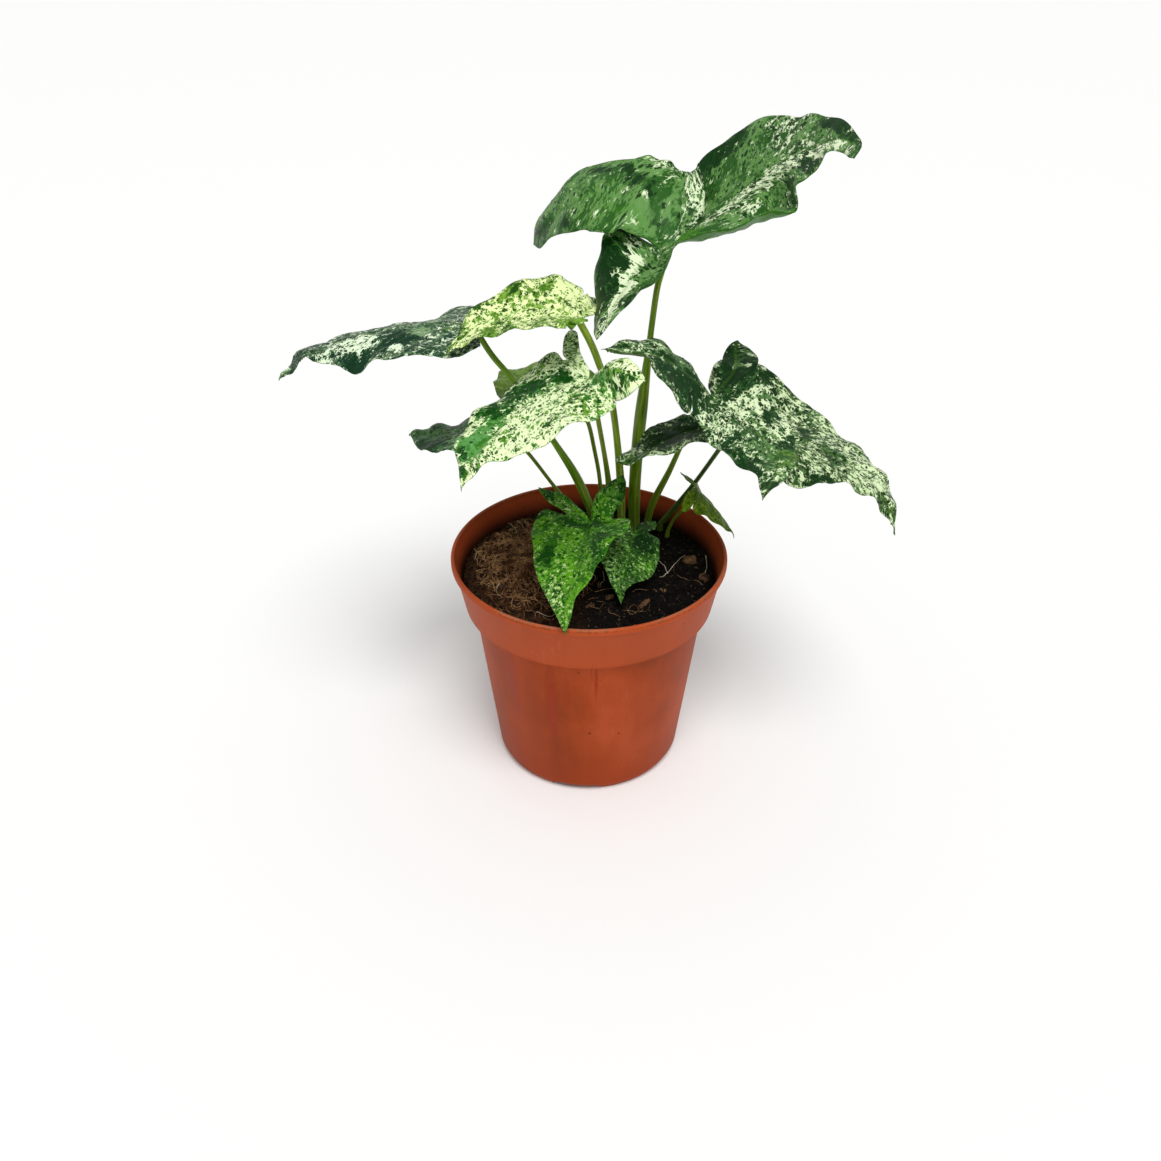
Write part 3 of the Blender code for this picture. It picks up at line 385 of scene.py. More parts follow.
def curveThrough(points, steps):
    # open Catmull-Rom curve through the points
    pts = [np.array(p, float) for p in points]
    pts = [2 * pts[0] - pts[1]] + pts + [2 * pts[-1] - pts[-2]]
    out = []
    for a, b, c, d in zip(pts, pts[1:], pts[2:], pts[3:]):
        for k in range(steps):
            t = k / steps
            out.append(0.5 * (2 * b + (c - a) * t + (2 * a - 5 * b + 4 * c - d) * t ** 2
                              + (3 * b - a - 3 * c + d) * t ** 3))
    out.append(pts[-2])
    return np.array(out)


def runLengths(points):
    return np.concatenate([[0.0], np.cumsum(np.linalg.norm(np.diff(points, axis=0), axis=1))])


def even(points, step):
    along = runLengths(points)
    stops = np.linspace(0.0, along[-1], max(2, round(along[-1] / step) + 1))
    return np.stack([np.interp(stops, along, points[:, k]) for k in range(points.shape[1])], axis=1)


def lobeRib(leaf, side):
    # unit vector along the hind lobe's rib and one across it, in flat leaf coordinates
    angle, sign = math.radians(leaf["lobeAngle"][side]), (-1, 1)[side]
    return (np.array([sign * math.sin(angle), math.cos(angle)]),
            np.array([-sign * math.cos(angle), math.sin(angle)]))


def halfMargin(leaf, side, step):
    length, width, lobe = leaf["length"], leaf["width"][side], leaf["lobe"][side]
    fullness = leaf["lobeWidth"][side]
    rib, across = lobeRib(leaf, side)
    sign = (-1, 1)[side]
    main = [(sign * width * a, length * b) for a, b in bladeMake["mainHalf"]]
    waist = (sign * width * leaf["waist"][side], bladeMake["waistHeight"] * length)
    outer = [lobe * (rib * b + across * a * fullness) for a, b in bladeMake["lobeOuter"]]
    inner = [lobe * (rib * b + across * a * fullness) for a, b in leaf.get("inner", {}).get(side, bladeMake["lobeInner"])]
    tip = rib * lobe
    front = even(curveThrough(main + [waist] + outer + [tip], 8), step)
    back = even(curveThrough([tip] + inner + [leaf.get("sinus", bladeMake["sinus"])], 8), step)
    return np.vstack([front, back[1:]])


def margin(leaf, step):
    right, left = halfMargin(leaf, 1, step), halfMargin(leaf, 0, step)
    return np.vstack([right, left[-2:0:-1]])


def betweenKeys(angle, keys, values):
    k, v = np.array(keys, float), np.array(values, float)
    i = np.clip(np.searchsorted(k, angle, side="right") - 1, 0, len(k) - 2)
    before, after = np.clip(i - 1, 0, None), np.clip(i + 2, None, len(k) - 1)
    span = k[i + 1] - k[i]
    t = (angle - k[i]) / span
    m0 = (v[i + 1] - v[before]) / (k[i + 1] - k[before]) * span
    m1 = (v[after] - v[i]) / (k[after] - k[i]) * span
    return ((2 * t ** 3 - 3 * t ** 2 + 1) * v[i] + (t ** 3 - 2 * t ** 2 + t) * m0
            + (3 * t ** 2 - 2 * t ** 3) * v[i + 1] + (t ** 3 - t ** 2) * m1)


def raysOf(leaf, flat):
    # direction from the stalk, 0 towards the tip, negative on the left; the lobes part at the sinus direction
    angle = np.degrees(np.arctan2(flat[:, 0], flat[:, 1]))
    parting = leaf.get("parting", 180)
    return np.where(angle < parting - 360, angle + 360, np.where(angle > parting, angle - 360, angle))


def bend(leaf, flat):
    # every ray from the stalk rises by its lift, droops on its way out, and turns a little
    length = leaf["length"]
    reach = np.hypot(flat[:, 0], flat[:, 1])
    angle = raysOf(leaf, flat)
    near, side = bladeMake["keyAngles"]
    left, right = leaf["lobeAngle"]
    parting = leaf.get("parting", 180)
    keys = (parting - 361, -left, -side, -near, 0, near, side, right, parting + 1)
    lift, droop, turn = [betweenKeys(angle, keys, (row[0], *row, row[-1]))
                         for row in (leaf["lift"], leaf["droop"], leaf["turn"])]
    out, up = np.zeros_like(reach), np.zeros_like(reach)
    for k in range(12):
        slope = np.radians(lift - droop * (k + 0.5) / 12 * reach / length)
        out += np.cos(slope) * reach / 12
        up += np.sin(slope) * reach / 12
    sweep = leaf["sweep"] * (reach / length) ** 2 * np.maximum(np.cos(np.radians(angle)), 0)
    heading = np.radians(angle + sweep + turn * np.clip(reach / (0.15 * length), 0, 1))
    return np.stack([out * np.sin(heading), out * np.cos(heading), up], axis=1)


def edgeDistance(leaf, flat):
    # distance to the margin, and how far round the margin the nearest point lies
    edge = margin(leaf, 1.5)
    along, far, where = runLengths(edge), np.full(len(flat), 1e9), np.zeros(len(flat))
    for point, stop in zip(edge, along):
        gap = np.hypot(flat[:, 0] - point[0], flat[:, 1] - point[1])
        closer = gap < far
        far[closer], where[closer] = gap[closer], stop
    return far, where


def ribDistance(leaf, flat):
    # mm from the nearest rib, mm along the main one or a hind lobe's, and which lobe: 0 main, 1 left, 2 right
    heights, shifts = zip(*leaf.get("rib", [(0, 0), (1, 0)]))
    offset = flat[:, 0] - np.interp(flat[:, 1], heights, shifts)
    rib, along, lobe = np.where(flat[:, 1] < 0, np.hypot(flat[:, 0], flat[:, 1]), np.abs(offset)), flat[:, 1].copy(), np.zeros(len(flat), int)
    angle = raysOf(leaf, flat)
    for k, sign in ((0, -1), (1, 1)):
        ribLine, across = lobeRib(leaf, k)
        u, w = flat @ ribLine, flat @ across
        hind = (angle * sign > 80) & (u > 0) & (np.abs(w) < 0.75 * u + 1) & (flat[:, 1] < 0.04 * leaf["length"])
        along[hind], lobe[hind] = u[hind], k + 1
        rib = np.where((angle * sign > 20) & (u > 0), np.minimum(rib, np.abs(w)), rib)
    return rib, along, lobe, offset


def grain(leaf, middles, corners):
    # the corners of each face in the frame of the side veins that cross it: (mm across, mm along)
    _, _, lobe, offset = ribDistance(leaf, middles)
    lean = math.radians(bladeMake["veinLean"])
    out = np.zeros((*corners.shape[:2], 2))
    for k in range(3):
        ribLine, across = ((np.array([0.0, 1.0]), np.array([1.0, 0.0])) if k == 0 else lobeRib(leaf, k - 1))
        away = offset if k == 0 else middles @ across
        for n, sign in ((0, -1), (1, 1)):
            faces = (lobe == k) & ((away >= 0) == (n == 1))
            vein = across * sign * math.cos(lean) + ribLine * math.sin(lean)
            cross = ribLine * math.cos(lean) - across * sign * math.sin(lean)
            out[faces, :, 0] = corners[faces] @ cross + 37 * (2 * k + n)
            out[faces, :, 1] = corners[faces] @ vein
    return out


def sideVeins(leaf, flat):
    # 0 on a side vein, 1 halfway to the next
    rib, along, _, _ = ribDistance(leaf, flat)
    spacing = bladeMake["veinSpacing"] * (0.55 + 0.45 * leaf["length"] / 86)
    bowed = along - math.tan(math.radians(bladeMake["veinLean"])) * rib - 0.012 * rib ** 2
    return np.abs(np.sin(math.pi * bowed / spacing))


def relief(leaf, flat):
    # ruffles along the margin, sunken ribs and the swelling between side veins
    height, wavelength, phase = leaf["ruffle"]
    length = leaf["length"]
    away, where = edgeDistance(leaf, flat)
    reach = np.hypot(flat[:, 0], flat[:, 1])
    fade = np.exp(-(away / (0.09 * length)) ** 2) * np.clip(reach / (0.25 * length), 0, 1) ** 2
    waves = height * fade * np.sin(2 * math.pi * where / wavelength + phase)
    rib = ribDistance(leaf, flat)[0]
    groove = -bladeMake["ribGroove"] * np.exp(-(rib / bladeMake["ribWidth"]) ** 2)
    swell = bladeMake["puff"] * sideVeins(leaf, flat) ** 0.8 * np.clip(rib / 4, 0, 1) * np.clip(away / 5, 0, 1)
    rough = np.array([noise.noise(Vector((x * 0.16, y * 0.16, length))) for x, y in flat])
    return waves + groove * np.clip(away / 3, 0, 1) + swell + 0.5 * rough


def leafAxes(leaf):
    heading, pitch, roll = [math.radians(leaf[k]) for k in ("heading", "pitch", "roll")]
    level = np.array([math.sin(heading), -math.cos(heading), 0.0])
    ahead = np.array([math.cos(heading), math.sin(heading), math.tan(pitch)]) * math.cos(pitch)
    right = level * math.cos(roll) + np.cross(level, ahead) * math.sin(roll)
    return np.stack([right, ahead, np.cross(right, ahead)])


def spread(places, shifts, flat):
    # the smoothest shift over the blade that moves each of the places by its own shift
    def plate(gaps):
        return np.where(gaps > 1e-6, gaps ** 2 * np.log(np.maximum(gaps, 1e-6)), 0.0)
    count = len(places)
    gaps = np.linalg.norm(places[:, None] - places[None], axis=2)
    level = np.column_stack([np.ones(count), places])
    system = np.block([[plate(gaps), level], [level.T, np.zeros((3, 3))]])
    answer = np.linalg.solve(system, np.vstack([shifts, np.zeros((3, 3))]))
    reach = np.linalg.norm(flat[:, None] - places[None], axis=2)
    return plate(reach) @ answer[:count] + np.column_stack([np.ones(len(flat)), flat]) @ answer[count:]


def pinShift(leaf, flat):
    # each pin holds a flat point where the picture shows it, at its own depth less its "nearer"
    pins = np.array(leaf["pins"], float)
    loose = bentBlade(leaf, pins[:, :2])
    depth = (loose - np.array(view["place"])) @ viewAxes()[2] - pins[:, 4]
    held = np.array(view["place"]) + viewRays(pins[:, 2:4]) * depth[:, None]
    return spread(pins[:, :2], held - loose, flat)


def bentBlade(leaf, flat):
    dx, dy = np.array([0.4, 0.0]), np.array([0.0, 0.4])
    normal = np.cross(bend(leaf, flat + dx) - bend(leaf, flat - dx), bend(leaf, flat + dy) - bend(leaf, flat - dy))
    normal /= np.maximum(np.linalg.norm(normal, axis=1, keepdims=True), 1e-9)
    bent = bend(leaf, flat) + normal * relief(leaf, flat)[:, None]
    world = bent @ leafAxes(leaf) + np.array(leaf["at"], float)
    upward = np.array([0.0, math.sin(bladeMake["pullLean"]), math.cos(bladeMake["pullLean"])])
    nearStalk = 1 - np.exp(-(flat ** 2).sum(axis=1) / (0.12 * leaf["length"]) ** 2)
    for x, y, radius, right, up in leaf["pulls"]:
        weight = np.exp(-((flat - (x, y)) ** 2).sum(axis=1) / radius ** 2) * nearStalk
        world += weight[:, None] * (right * np.array([1.0, 0.0, 0.0]) + up * upward)
    return world


def bladeSurface(leaf, flat):
    # flat leaf coordinates to world coordinates, both in mm
    return bentBlade(leaf, flat) + (pinShift(leaf, flat) if "pins" in leaf else 0.0)


def inside(points, loop):
    hit = np.zeros(len(points), bool)
    for (x0, y0), (x1, y1) in zip(loop, np.roll(loop, -1, axis=0)):
        if y0 != y1:
            crosses = (y0 > points[:, 1]) != (y1 > points[:, 1])
            hit ^= crosses & (points[:, 0] < x0 + (points[:, 1] - y0) * (x1 - x0) / (y1 - y0))
    return hit


def netPoints(leaf, loop):
    # rows beside each rib, then an even triangular net over the rest
    step = bladeMake["netStep"]
    rows = []
    ribs = [((0.0, 1.0), (1.0, 0.0), leaf["length"] - 2)]
    for side in (0, 1):
        ribLine, across = lobeRib(leaf, side)
        ribs.append((ribLine, across, leaf["lobe"][side] - 2))
    for ribLine, across, reach in ribs:
        for offset in (0, -0.65, 0.65, -1.4, 1.4):
            for u in np.arange(1.6 + (abs(offset) == 0.65) * step / 2, reach, step):
                rows.append(np.array(ribLine) * u + np.array(across) * offset)
    low, high = loop.min(axis=0), loop.max(axis=0)
    levels = np.arange(low[1], high[1], step * math.sqrt(0.75))
    for n, y in enumerate(levels):
        rows += [np.array((x, y)) for x in np.arange(low[0] + (n % 2) * step / 2, high[0], step)]
    grid, kept = {}, []
    for point in rows:
        cell = (int(point[0] // step), int(point[1] // step))
        near = [q for i in (-1, 0, 1) for j in (-1, 0, 1) for q in grid.get((cell[0] + i, cell[1] + j), ())]
        if all(math.dist(point, q) > 0.42 * step for q in near):
            grid.setdefault(cell, []).append(tuple(point))
            kept.append(point)
    kept = np.array(kept)
    kept = kept[inside(kept, loop)]
    return kept[edgeDistance(leaf, kept)[0] > 0.62 * step]


def zoneWeights(flat, zones):
    # how much each listed patch covers each point: (x, y, half width, half height, turn, ...)
    wobble = np.array([[noise.noise(Vector((x * 0.22, y * 0.22, 3.0 + k))) for k in (0, 5)] for x, y in flat])
    shifted = flat + wobble * 4.0
    weights = []
    for x, y, wide, high, turn, *_ in zones:
        c, s = math.cos(math.radians(turn)), math.sin(math.radians(turn))
        u = ((shifted[:, 0] - x) * c + (shifted[:, 1] - y) * s) / wide
        v = ((shifted[:, 1] - y) * c - (shifted[:, 0] - x) * s) / high
        weights.append(np.exp(-((u * u + v * v) ** 2)))
    return weights


def makeBlade(name, leaf, look, finish):
    loop = margin(leaf, bladeMake["marginStep"])
    points = [Vector(p) for p in np.vstack([loop, netPoints(leaf, loop)])]
    coords, _, tris, _, _, _ = delaunay_2d_cdt(points, [], [list(range(len(loop)))], 1, 1e-5)
    flat = np.array([tuple(c) for c in coords])
    tris = np.array([tuple(t) for t in tris])
    a, b, c = flat[tris[:, 0]], flat[tris[:, 1]], flat[tris[:, 2]]
    backward = (b[:, 0] - a[:, 0]) * (c[:, 1] - a[:, 1]) - (b[:, 1] - a[:, 1]) * (c[:, 0] - a[:, 0]) < 0
    tris[backward] = tris[backward][:, ::-1]
    middle = bladeSurface(leaf, flat)
    faceNormals = np.cross(middle[tris[:, 1]] - middle[tris[:, 0]], middle[tris[:, 2]] - middle[tris[:, 0]])
    normal = np.zeros_like(middle)
    for k in range(3):
        np.add.at(normal, tris[:, k], faceNormals)
    normal /= np.linalg.norm(normal, axis=1, keepdims=True)
    away, _ = edgeDistance(leaf, flat)
    rib = ribDistance(leaf, flat)[0]
    veins = sideVeins(leaf, flat)
    thick = bladeMake["thickness"] / 2 * np.clip(0.45 + away / 3, 0, 1)
    keel = 0.7 * np.exp(-(rib / 1.1) ** 2) * np.clip(away / 6, 0, 1)     # the rib stands out below
    count = len(flat)
    vertices = np.vstack([middle + normal * thick[:, None], middle - normal * (thick + keel)[:, None]])
    faces = [tuple(t) for t in tris] + [(p + count, r + count, q + count) for p, q, r in tris]
    edges = {}
    for tri in tris:
        for p, q in ((tri[0], tri[1]), (tri[1], tri[2]), (tri[2], tri[0])):
            edges[(p, q)] = True
    for p, q in [e for e in edges if (e[1], e[0]) not in edges]:
        faces.append((q, p, p + count, q + count))
    mesh = bpy.data.meshes.new(name)
    mesh.from_pydata([tuple(v * mm) for v in vertices], [], faces)
    mesh.update()
    flatMap, grainMap = mesh.uv_layers.new(name="flat"), mesh.uv_layers.new(name="grain")
    corner = np.empty(len(mesh.loops), int)
    mesh.loops.foreach_get("vertex_index", corner)
    corner %= count
    flatMap.data.foreach_set("uv", (flat[corner] / 200 + 0.5).ravel())
    # each face takes its grain from the side of the rib that its middle lies on
    loops = np.array([len(f) for f in faces])
    starts = np.concatenate([[0], np.cumsum(loops)[:-1]])
    middles = np.add.reduceat(flat[corner], starts) / loops[:, None]
    owners = np.repeat(np.arange(len(faces)), loops)
    grains = grain(leaf, middles[owners], flat[corner][:, None, :])[:, 0]
    grainMap.data.foreach_set("uv", (grains / 200).ravel())
    under = np.concatenate([np.zeros(count), np.ones(count)])
    shares = [np.full(count, look[key]) for key in ("cream", "dark", "hue")]
    for zone, weight in zip(look["zones"], zoneWeights(flat, look["zones"])):
        shares = [share * (1 - weight) + value * weight for share, value in zip(shares, zone[5:])]
    paint = mesh.color_attributes.new("paint", "FLOAT_COLOR", "POINT")
    rows = np.stack([*shares, np.ones(count)], axis=1)
    paint.data.foreach_set("color", np.vstack([rows, rows]).ravel())
    sides = mesh.color_attributes.new("sides", "FLOAT_COLOR", "POINT")     # underside, margin, rib, side vein
    rows = [np.stack([np.full(count, float(k)), np.clip(away / 10, 0, 1), np.clip(rib / 10, 0, 1), veins],
                     axis=1) for k in (0, 1)]
    sides.data.foreach_set("color", np.vstack(rows).ravel())
    mesh.shade_smooth()
    mesh.materials.append(finish)
    blade = bpy.data.objects.new(name.replace("leaf", "blade"), mesh)
    bpy.context.collection.objects.link(blade)
    return blade


# How each leaf is marked. Colours are as seen, 0 to 255. cream and dark are the share that such flecks cover,
# hue runs from 0, deep green, over 0.5, sage, to 1, bright. Each zone is an ellipse in flat leaf mm with its own
# shares: (x, y, half width, half height, turn, cream, dark, hue).
leafLooks = {
    "leaf_top": dict(
        deep=(40, 86, 28), sage=(100, 142, 78), bright=(60, 122, 14), darkest=(10, 44, 14), ivory=(226, 240, 200),
        cream=0.22, dark=0.2, hue=0.55,
        zones=[(-14, 36, 17, 16, 0, 0.08, 0.26, 0.6), (-12, 56, 13, 7, 10, 0.38, 0.32, 0.4),
               (-29, 27, 6, 17, -12, 0, 0.97, 0), (-6, 80, 4.5, 11, -25, 0.05, 0.95, 0), (-20, 62, 5, 5, 0, 0.4, 0.5, 0.3),
               (5, 75, 3.5, 13, 10, 0.72, 0.15, 0.4), (5, 42, 6, 30, 0, 0.58, 0.34, 0.45),
               (12, 64, 4, 5, 20, 0.08, 0.95, 0), (17, 51, 4, 4, 0, 0.1, 0.92, 0), (24, 47, 5, 3, 20, 0.35, 0.6, 0.2),
               (18, 36, 8, 10, 10, 0.14, 0.28, 0.65), (16, 27, 6, 3, 15, 0.55, 0.25, 0.5),
               (27, 34, 4, 14, -12, 0, 0.06, 0.97), (13, 8, 15, 6.5, 5, 0, 0.12, 0.95),
               (-4, 10, 4, 10, 10, 0.04, 0.85, 0.1), (-22, 10, 12, 12, 0, 0.58, 0.42, 0.4),
               (-38, -27, 36, 16, 39, 0.1, 0.16, 0.6), (-28, -13, 20, 2, 27, 0.03, 0.75, 0.1),
               (-58, -45, 10, 4, 36, 0, 0.8, 0.1), (-33, -8, 9, 3, 22, 0.42, 0.3, 0.5), (-38, -36, 6, 3, 30, 0, 0.75, 0.2),
               (12, -14, 9, 9, 0, 0.08, 0.26, 0.55), (0, -24, 7, 14, 8, 0.04, 0.96, 0), (17, -26, 3, 8, -20, 0.02, 0.92, 0),
               (8.5, -25, 18, 2.6, -62, 0.88, 0.22, 0.5), (12, -37, 4, 5, 0, 0.66, 0.5, 0.5)]),
    "leaf_cream": dict(
        deep=(70, 118, 14), sage=(138, 172, 84), bright=(112, 160, 34), darkest=(24, 66, 8), ivory=(232, 246, 178),
        net=1.5, cream=0.58, dark=0.2, hue=0.75, rib=[(0, 0), (8, 4.5), (20, 6), (32, 5), (45, 1.5), (54, 0)],
        zones=[(-9, 34, 9, 3.5, 5, 0.08, 0.4, 0.85), (-10, 26.5, 9, 2.2, 0, 0.05, 0.8, 0.3),
               (-13, 13, 8, 2.2, 0, 0.12, 0.5, 0.6), (-12, 4, 11, 5, 0, 0.28, 0.12, 0.95),
               (-17, -4, 13, 5.5, 12, 0.14, 0.08, 0.95), (2.5, 30.5, 4, 2.2, 10, 0.04, 0.5, 0.5),
               (12, 37.5, 4.5, 3, -45, 0.12, 0.88, 0.1), (15, 27, 5, 4, 0, 0.2, 0.3, 0.8), (16, 25.5, 2.2, 2, 0, 0, 0.92, 0),
               (15, 15, 9, 2.8, -12, 0.2, 0.42, 0.6), (9, 6, 1.8, 3, 25, 0.04, 0.85, 0.4), (16, 6, 7, 5, 0, 0.86, 0.12, 0.4),
               (4, 45, 3.5, 3, 0, 0.25, 0.5, 0.5), (0, 51, 3, 4, 0, 0.45, 0.3, 0.8),
               (19, -3, 7, 5, -20, 0.66, 0.16, 0.5), (17, -10.5, 10, 2.4, -14, 0.06, 0.96, 0)]),
    "leaf_far_left": dict(
        deep=(32, 74, 44), sage=(122, 150, 108), bright=(88, 128, 42), darkest=(8, 44, 26), ivory=(222, 238, 206),
        cream=0.3, dark=0.5, hue=0.4,
        zones=[(-20, 45, 6.5, 8, 10, 0.02, 1, 0), (-14, 28, 11, 8, 20, 0.05, 0.95, 0), (-7, 47, 7, 11, 0, 0.68, 0.36, 0.4),
               (-16, 60, 6, 4, 20, 0.6, 0.42, 0.4), (-1, 71, 8, 8, 0, 0.14, 0.82, 0.1), (2, 80, 3, 5, 0, 0.3, 0.3, 0.9),
               (-23, 25.5, 5, 2.6, 45, 0.78, 0.2, 0.5), (-5, 20, 8, 6, 0, 0.12, 0.16, 0.5), (-4, 7, 8, 5, 0, 0.32, 0.25, 0.9),
               (10, 6, 12, 6, 10, 0.42, 0.35, 0.8), (21, 5, 9, 5, 20, 0.1, 0.85, 0.1)]),
    "leaf_front_left": dict(
        deep=(48, 112, 30), sage=(96, 158, 84), bright=(108, 152, 34), darkest=(10, 58, 14), ivory=(234, 248, 196),
        cream=0.66, dark=0.2, hue=0.8, rib=[(0, 0), (5, 5), (12, 8), (25, 6.5), (38, 3), (52, 0), (71, 0)],
        zones=[(-14, 9, 13, 8, -25, 0.4, 0.25, 0.95), (-14, 25, 7, 4, -30, 0.5, 0.4, 0.9), (-6, 41, 2.6, 2, 0, 0.08, 0.2, 1),
               (-6, 58, 4, 6, 0, 0.5, 0.35, 0.8), (4, 50, 6.5, 10, 10, 0.04, 0.12, 0.4), (4.5, 56, 3.5, 2, -20, 0.1, 0.85, 0.2),
               (8, 38, 5, 5, 0, 0.12, 0.14, 0.45), (15, 33, 8, 5, 0, 0.06, 0.92, 0), (17, 27, 10, 4, 5, 0.3, 0.66, 0.1),
               (15, 16, 8, 6, 15, 0.04, 0.92, 0), (19, 23, 9, 4, 5, 0.16, 0.8, 0.1), (9, 6, 6, 4, 35, 0.03, 0.93, 0),
               (16, 49, 4, 9, 30, 0.55, 0.28, 0.8), (23.5, 34, 4.5, 9, 15, 0.5, 0.34, 0.7), (22, 8, 6, 7, 0, 0.52, 0.32, 0.9),
               (25, 18, 3, 4, 0, 0.45, 0.5, 0.5), (1, 64, 3, 3, 0, 0.1, 0.85, 0.5),
               (-16, -7, 11, 5, 25, 0.36, 0.4, 0.8), (-9, -3, 7, 3, 22, 0.2, 0.3, 0.5),
               (20, -8, 12, 5, -35, 0.5, 0.4, 0.8)]),
    "leaf_low_left": dict(
        deep=(40, 88, 40), sage=(84, 128, 70), bright=(80, 120, 40), darkest=(8, 48, 14), ivory=(212, 230, 190),
        cream=0.2, dark=0.45, hue=0.45,
        zones=[(-11, 30, 8, 10, -35, 0.02, 0.97, 0), (-1, 34, 5, 10, -10, 0.05, 0.3, 0.5), (4, 26, 9, 5, 20, 0.2, 0.5, 0.7),
               (0, 46, 3, 5, 0, 0.25, 0.3, 0.6)]),
    "leaf_back_left": dict(
        deep=(84, 122, 24), sage=(122, 156, 66), bright=(112, 146, 44), darkest=(60, 98, 10), ivory=(176, 204, 118),
        cream=0.25, dark=0.2, hue=0.8,
        zones=[(-8, 33, 5, 8, -30, 0.3, 0.1, 0.9), (2, 38, 3, 8, -10, 0.05, 0.5, 0.6), (0, 15, 20, 8, 0, 0.3, 0.6, 0.4)]),
    "leaf_front_right": dict(
        deep=(44, 84, 36), sage=(92, 130, 74), bright=(86, 122, 36), darkest=(8, 44, 14), ivory=(218, 234, 190),
        cream=0.42, dark=0.36, hue=0.5, rib=[(0, 0), (8, -4), (20, -6), (32, -5), (45, -2.5), (60, 0)],
        zones=[(-2, 53, 2.6, 5, 0, 0.02, 0.92, 0), (7, 44, 3, 3.5, 20, 0.05, 0.85, 0.1), (8.5, 37, 4, 6, 10, 0, 1, 0),
               (12, 28, 3, 6, 10, 0.12, 0.9, 0), (-9, 38, 6.5, 6, 20, 0.04, 0.16, 0.95), (-14, 32, 6, 1.8, 10, 0.1, 0.85, 0.3),
               (-4, 45, 1.8, 6, 15, 0.55, 0.2, 0.8), (-2, 32, 4, 12, 0, 0.12, 0.3, 0.5), (-15, 18, 6.5, 3.2, -30, 0.05, 0.9, 0.1),
               (-17, 26, 7, 4, 0, 0.6, 0.25, 0.7), (-12, 10, 8, 7, 0, 0.62, 0.3, 0.5), (-21, 5, 4, 4, 0, 0.15, 0.9, 0),
               (-11, 4, 4, 1.6, 0, 0.12, 0.85, 0), (8, 12, 7, 12, 0, 0.52, 0.36, 0.55), (7, 22, 7, 2, 0, 0.1, 0.85, 0),
               (-18, -6, 15, 7, 20, 0.03, 0.94, 0), (-24, -7, 7, 1.2, 10, 0.3, 0.1, 0.5), (-6, -6, 5, 1.8, 35, 0.4, 0.3, 0.9),
               (22, -6, 20, 9, -20, 0.04, 0.92, 0), (19, -17, 9, 4.5, -35, 0.14, 0.2, 0.55), (8, -10, 3, 2.4, 0, 0.4, 0.2, 0.5),
               (27, -11, 4, 1.6, -30, 0.4, 0.4, 0.5), (41, -25, 7, 4, -15, 0.3, 0.4, 0.6)]),
    "leaf_far_right": dict(
        deep=(44, 80, 30), sage=(90, 124, 72), bright=(84, 116, 26), darkest=(6, 40, 8), ivory=(214, 232, 184),
        cream=0.46, dark=0.34, hue=0.6,
        zones=[(-2, 58, 17, 11, 0, 0.6, 0.26, 0.6), (0, 79, 3.5, 7, 0, 0.34, 0.34, 0.9), (6, 70, 7, 4.5, 10, 0.12, 0.6, 0.5),
               (3, 42, 12, 5.5, 18, 0.14, 0.55, 0.4), (31, 37, 3, 8, 15, 0.04, 0.96, 0), (24, 28, 6, 6, 0, 0.42, 0.52, 0.4),
               (13, 22, 14, 4.5, 4, 0.03, 0.18, 0.97), (25, 15, 9, 4, 10, 0.12, 0.14, 0.5), (8, 10, 14, 1.4, 10, 0.02, 0.88, 0.1),
               (33, 9, 4, 5, -30, 0.12, 0.92, 0), (19, 5, 12, 2.6, 0, 0.42, 0.4, 0.5), (10, -5, 11, 4, 15, 0.44, 0.26, 0.9),
               (-16, 27, 13, 5, 10, 0.32, 0.45, 0.5), (-8, 28, 9, 2, 12, 0.04, 0.8, 0.3), (-17, 18, 9, 5, 0, 0.55, 0.3, 0.7),
               (-35, 7, 6, 3, 10, 0.05, 0.97, 0), (-14, 10, 4.5, 2, -50, 0.08, 0.85, 0.2), (-30, 15, 6, 6, 0, 0.45, 0.45, 0.6),
               (-25, -10, 15, 7, 26, 0.01, 1, 0), (-15, -4, 4, 6, -10, 0.46, 0.35, 0.8), (-22, -20, 9, 1.8, 4, 0.42, 0.34, 0.7),
               (14, -24, 14, 11, -55, 0.06, 0.92, 0), (8, -30, 3, 6, 20, 0.32, 0.5, 0.4), (29, -33, 3, 8, 10, 0.1, 0.3, 0.8)]),
    "leaf_low_front": dict(
        deep=(40, 96, 14), sage=(88, 140, 50), bright=(88, 150, 22), darkest=(10, 58, 6), ivory=(190, 220, 140),
        net=1.15, cream=0.22, dark=0.3, hue=0.9,
        zones=[(8, 46, 7, 9, 0, 0.4, 0.4, 0.6), (5, 30, 6, 6, 0, 0.28, 0.12, 0.95), (15, 25, 4, 6.5, 10, 0.02, 0.95, 0),
               (-12, 15, 4.5, 9, -35, 0.08, 0.8, 0.1), (-15, 30, 4, 7, 10, 0.08, 0.55, 0.5), (-2, 3, 7, 4, 0, 0.02, 0.8, 0.1),
               (8, 3, 5, 2.4, 20, 0.02, 0.85, 0.1), (0, 56, 3.5, 7, 0, 0.36, 0.24, 0.9), (-9, 42, 5, 6, -20, 0.12, 0.08, 1),
               (16, 12, 6, 6, 0, 0.2, 0.3, 1), (-12, -12, 5, 8, 30, 0.16, 0.5, 0.5), (14, -8, 8, 3.4, -38, 0.35, 0.3, 0.6),
               (21, -14, 5, 3.4, -38, 0.1, 0.7, 0.3)]),
    "leaf_low_small": dict(
        deep=(30, 72, 14), sage=(70, 112, 42), bright=(72, 128, 16), darkest=(5, 36, 6), ivory=(150, 188, 112),
        net=1.05, cream=0.28, dark=0.42, hue=0.6,
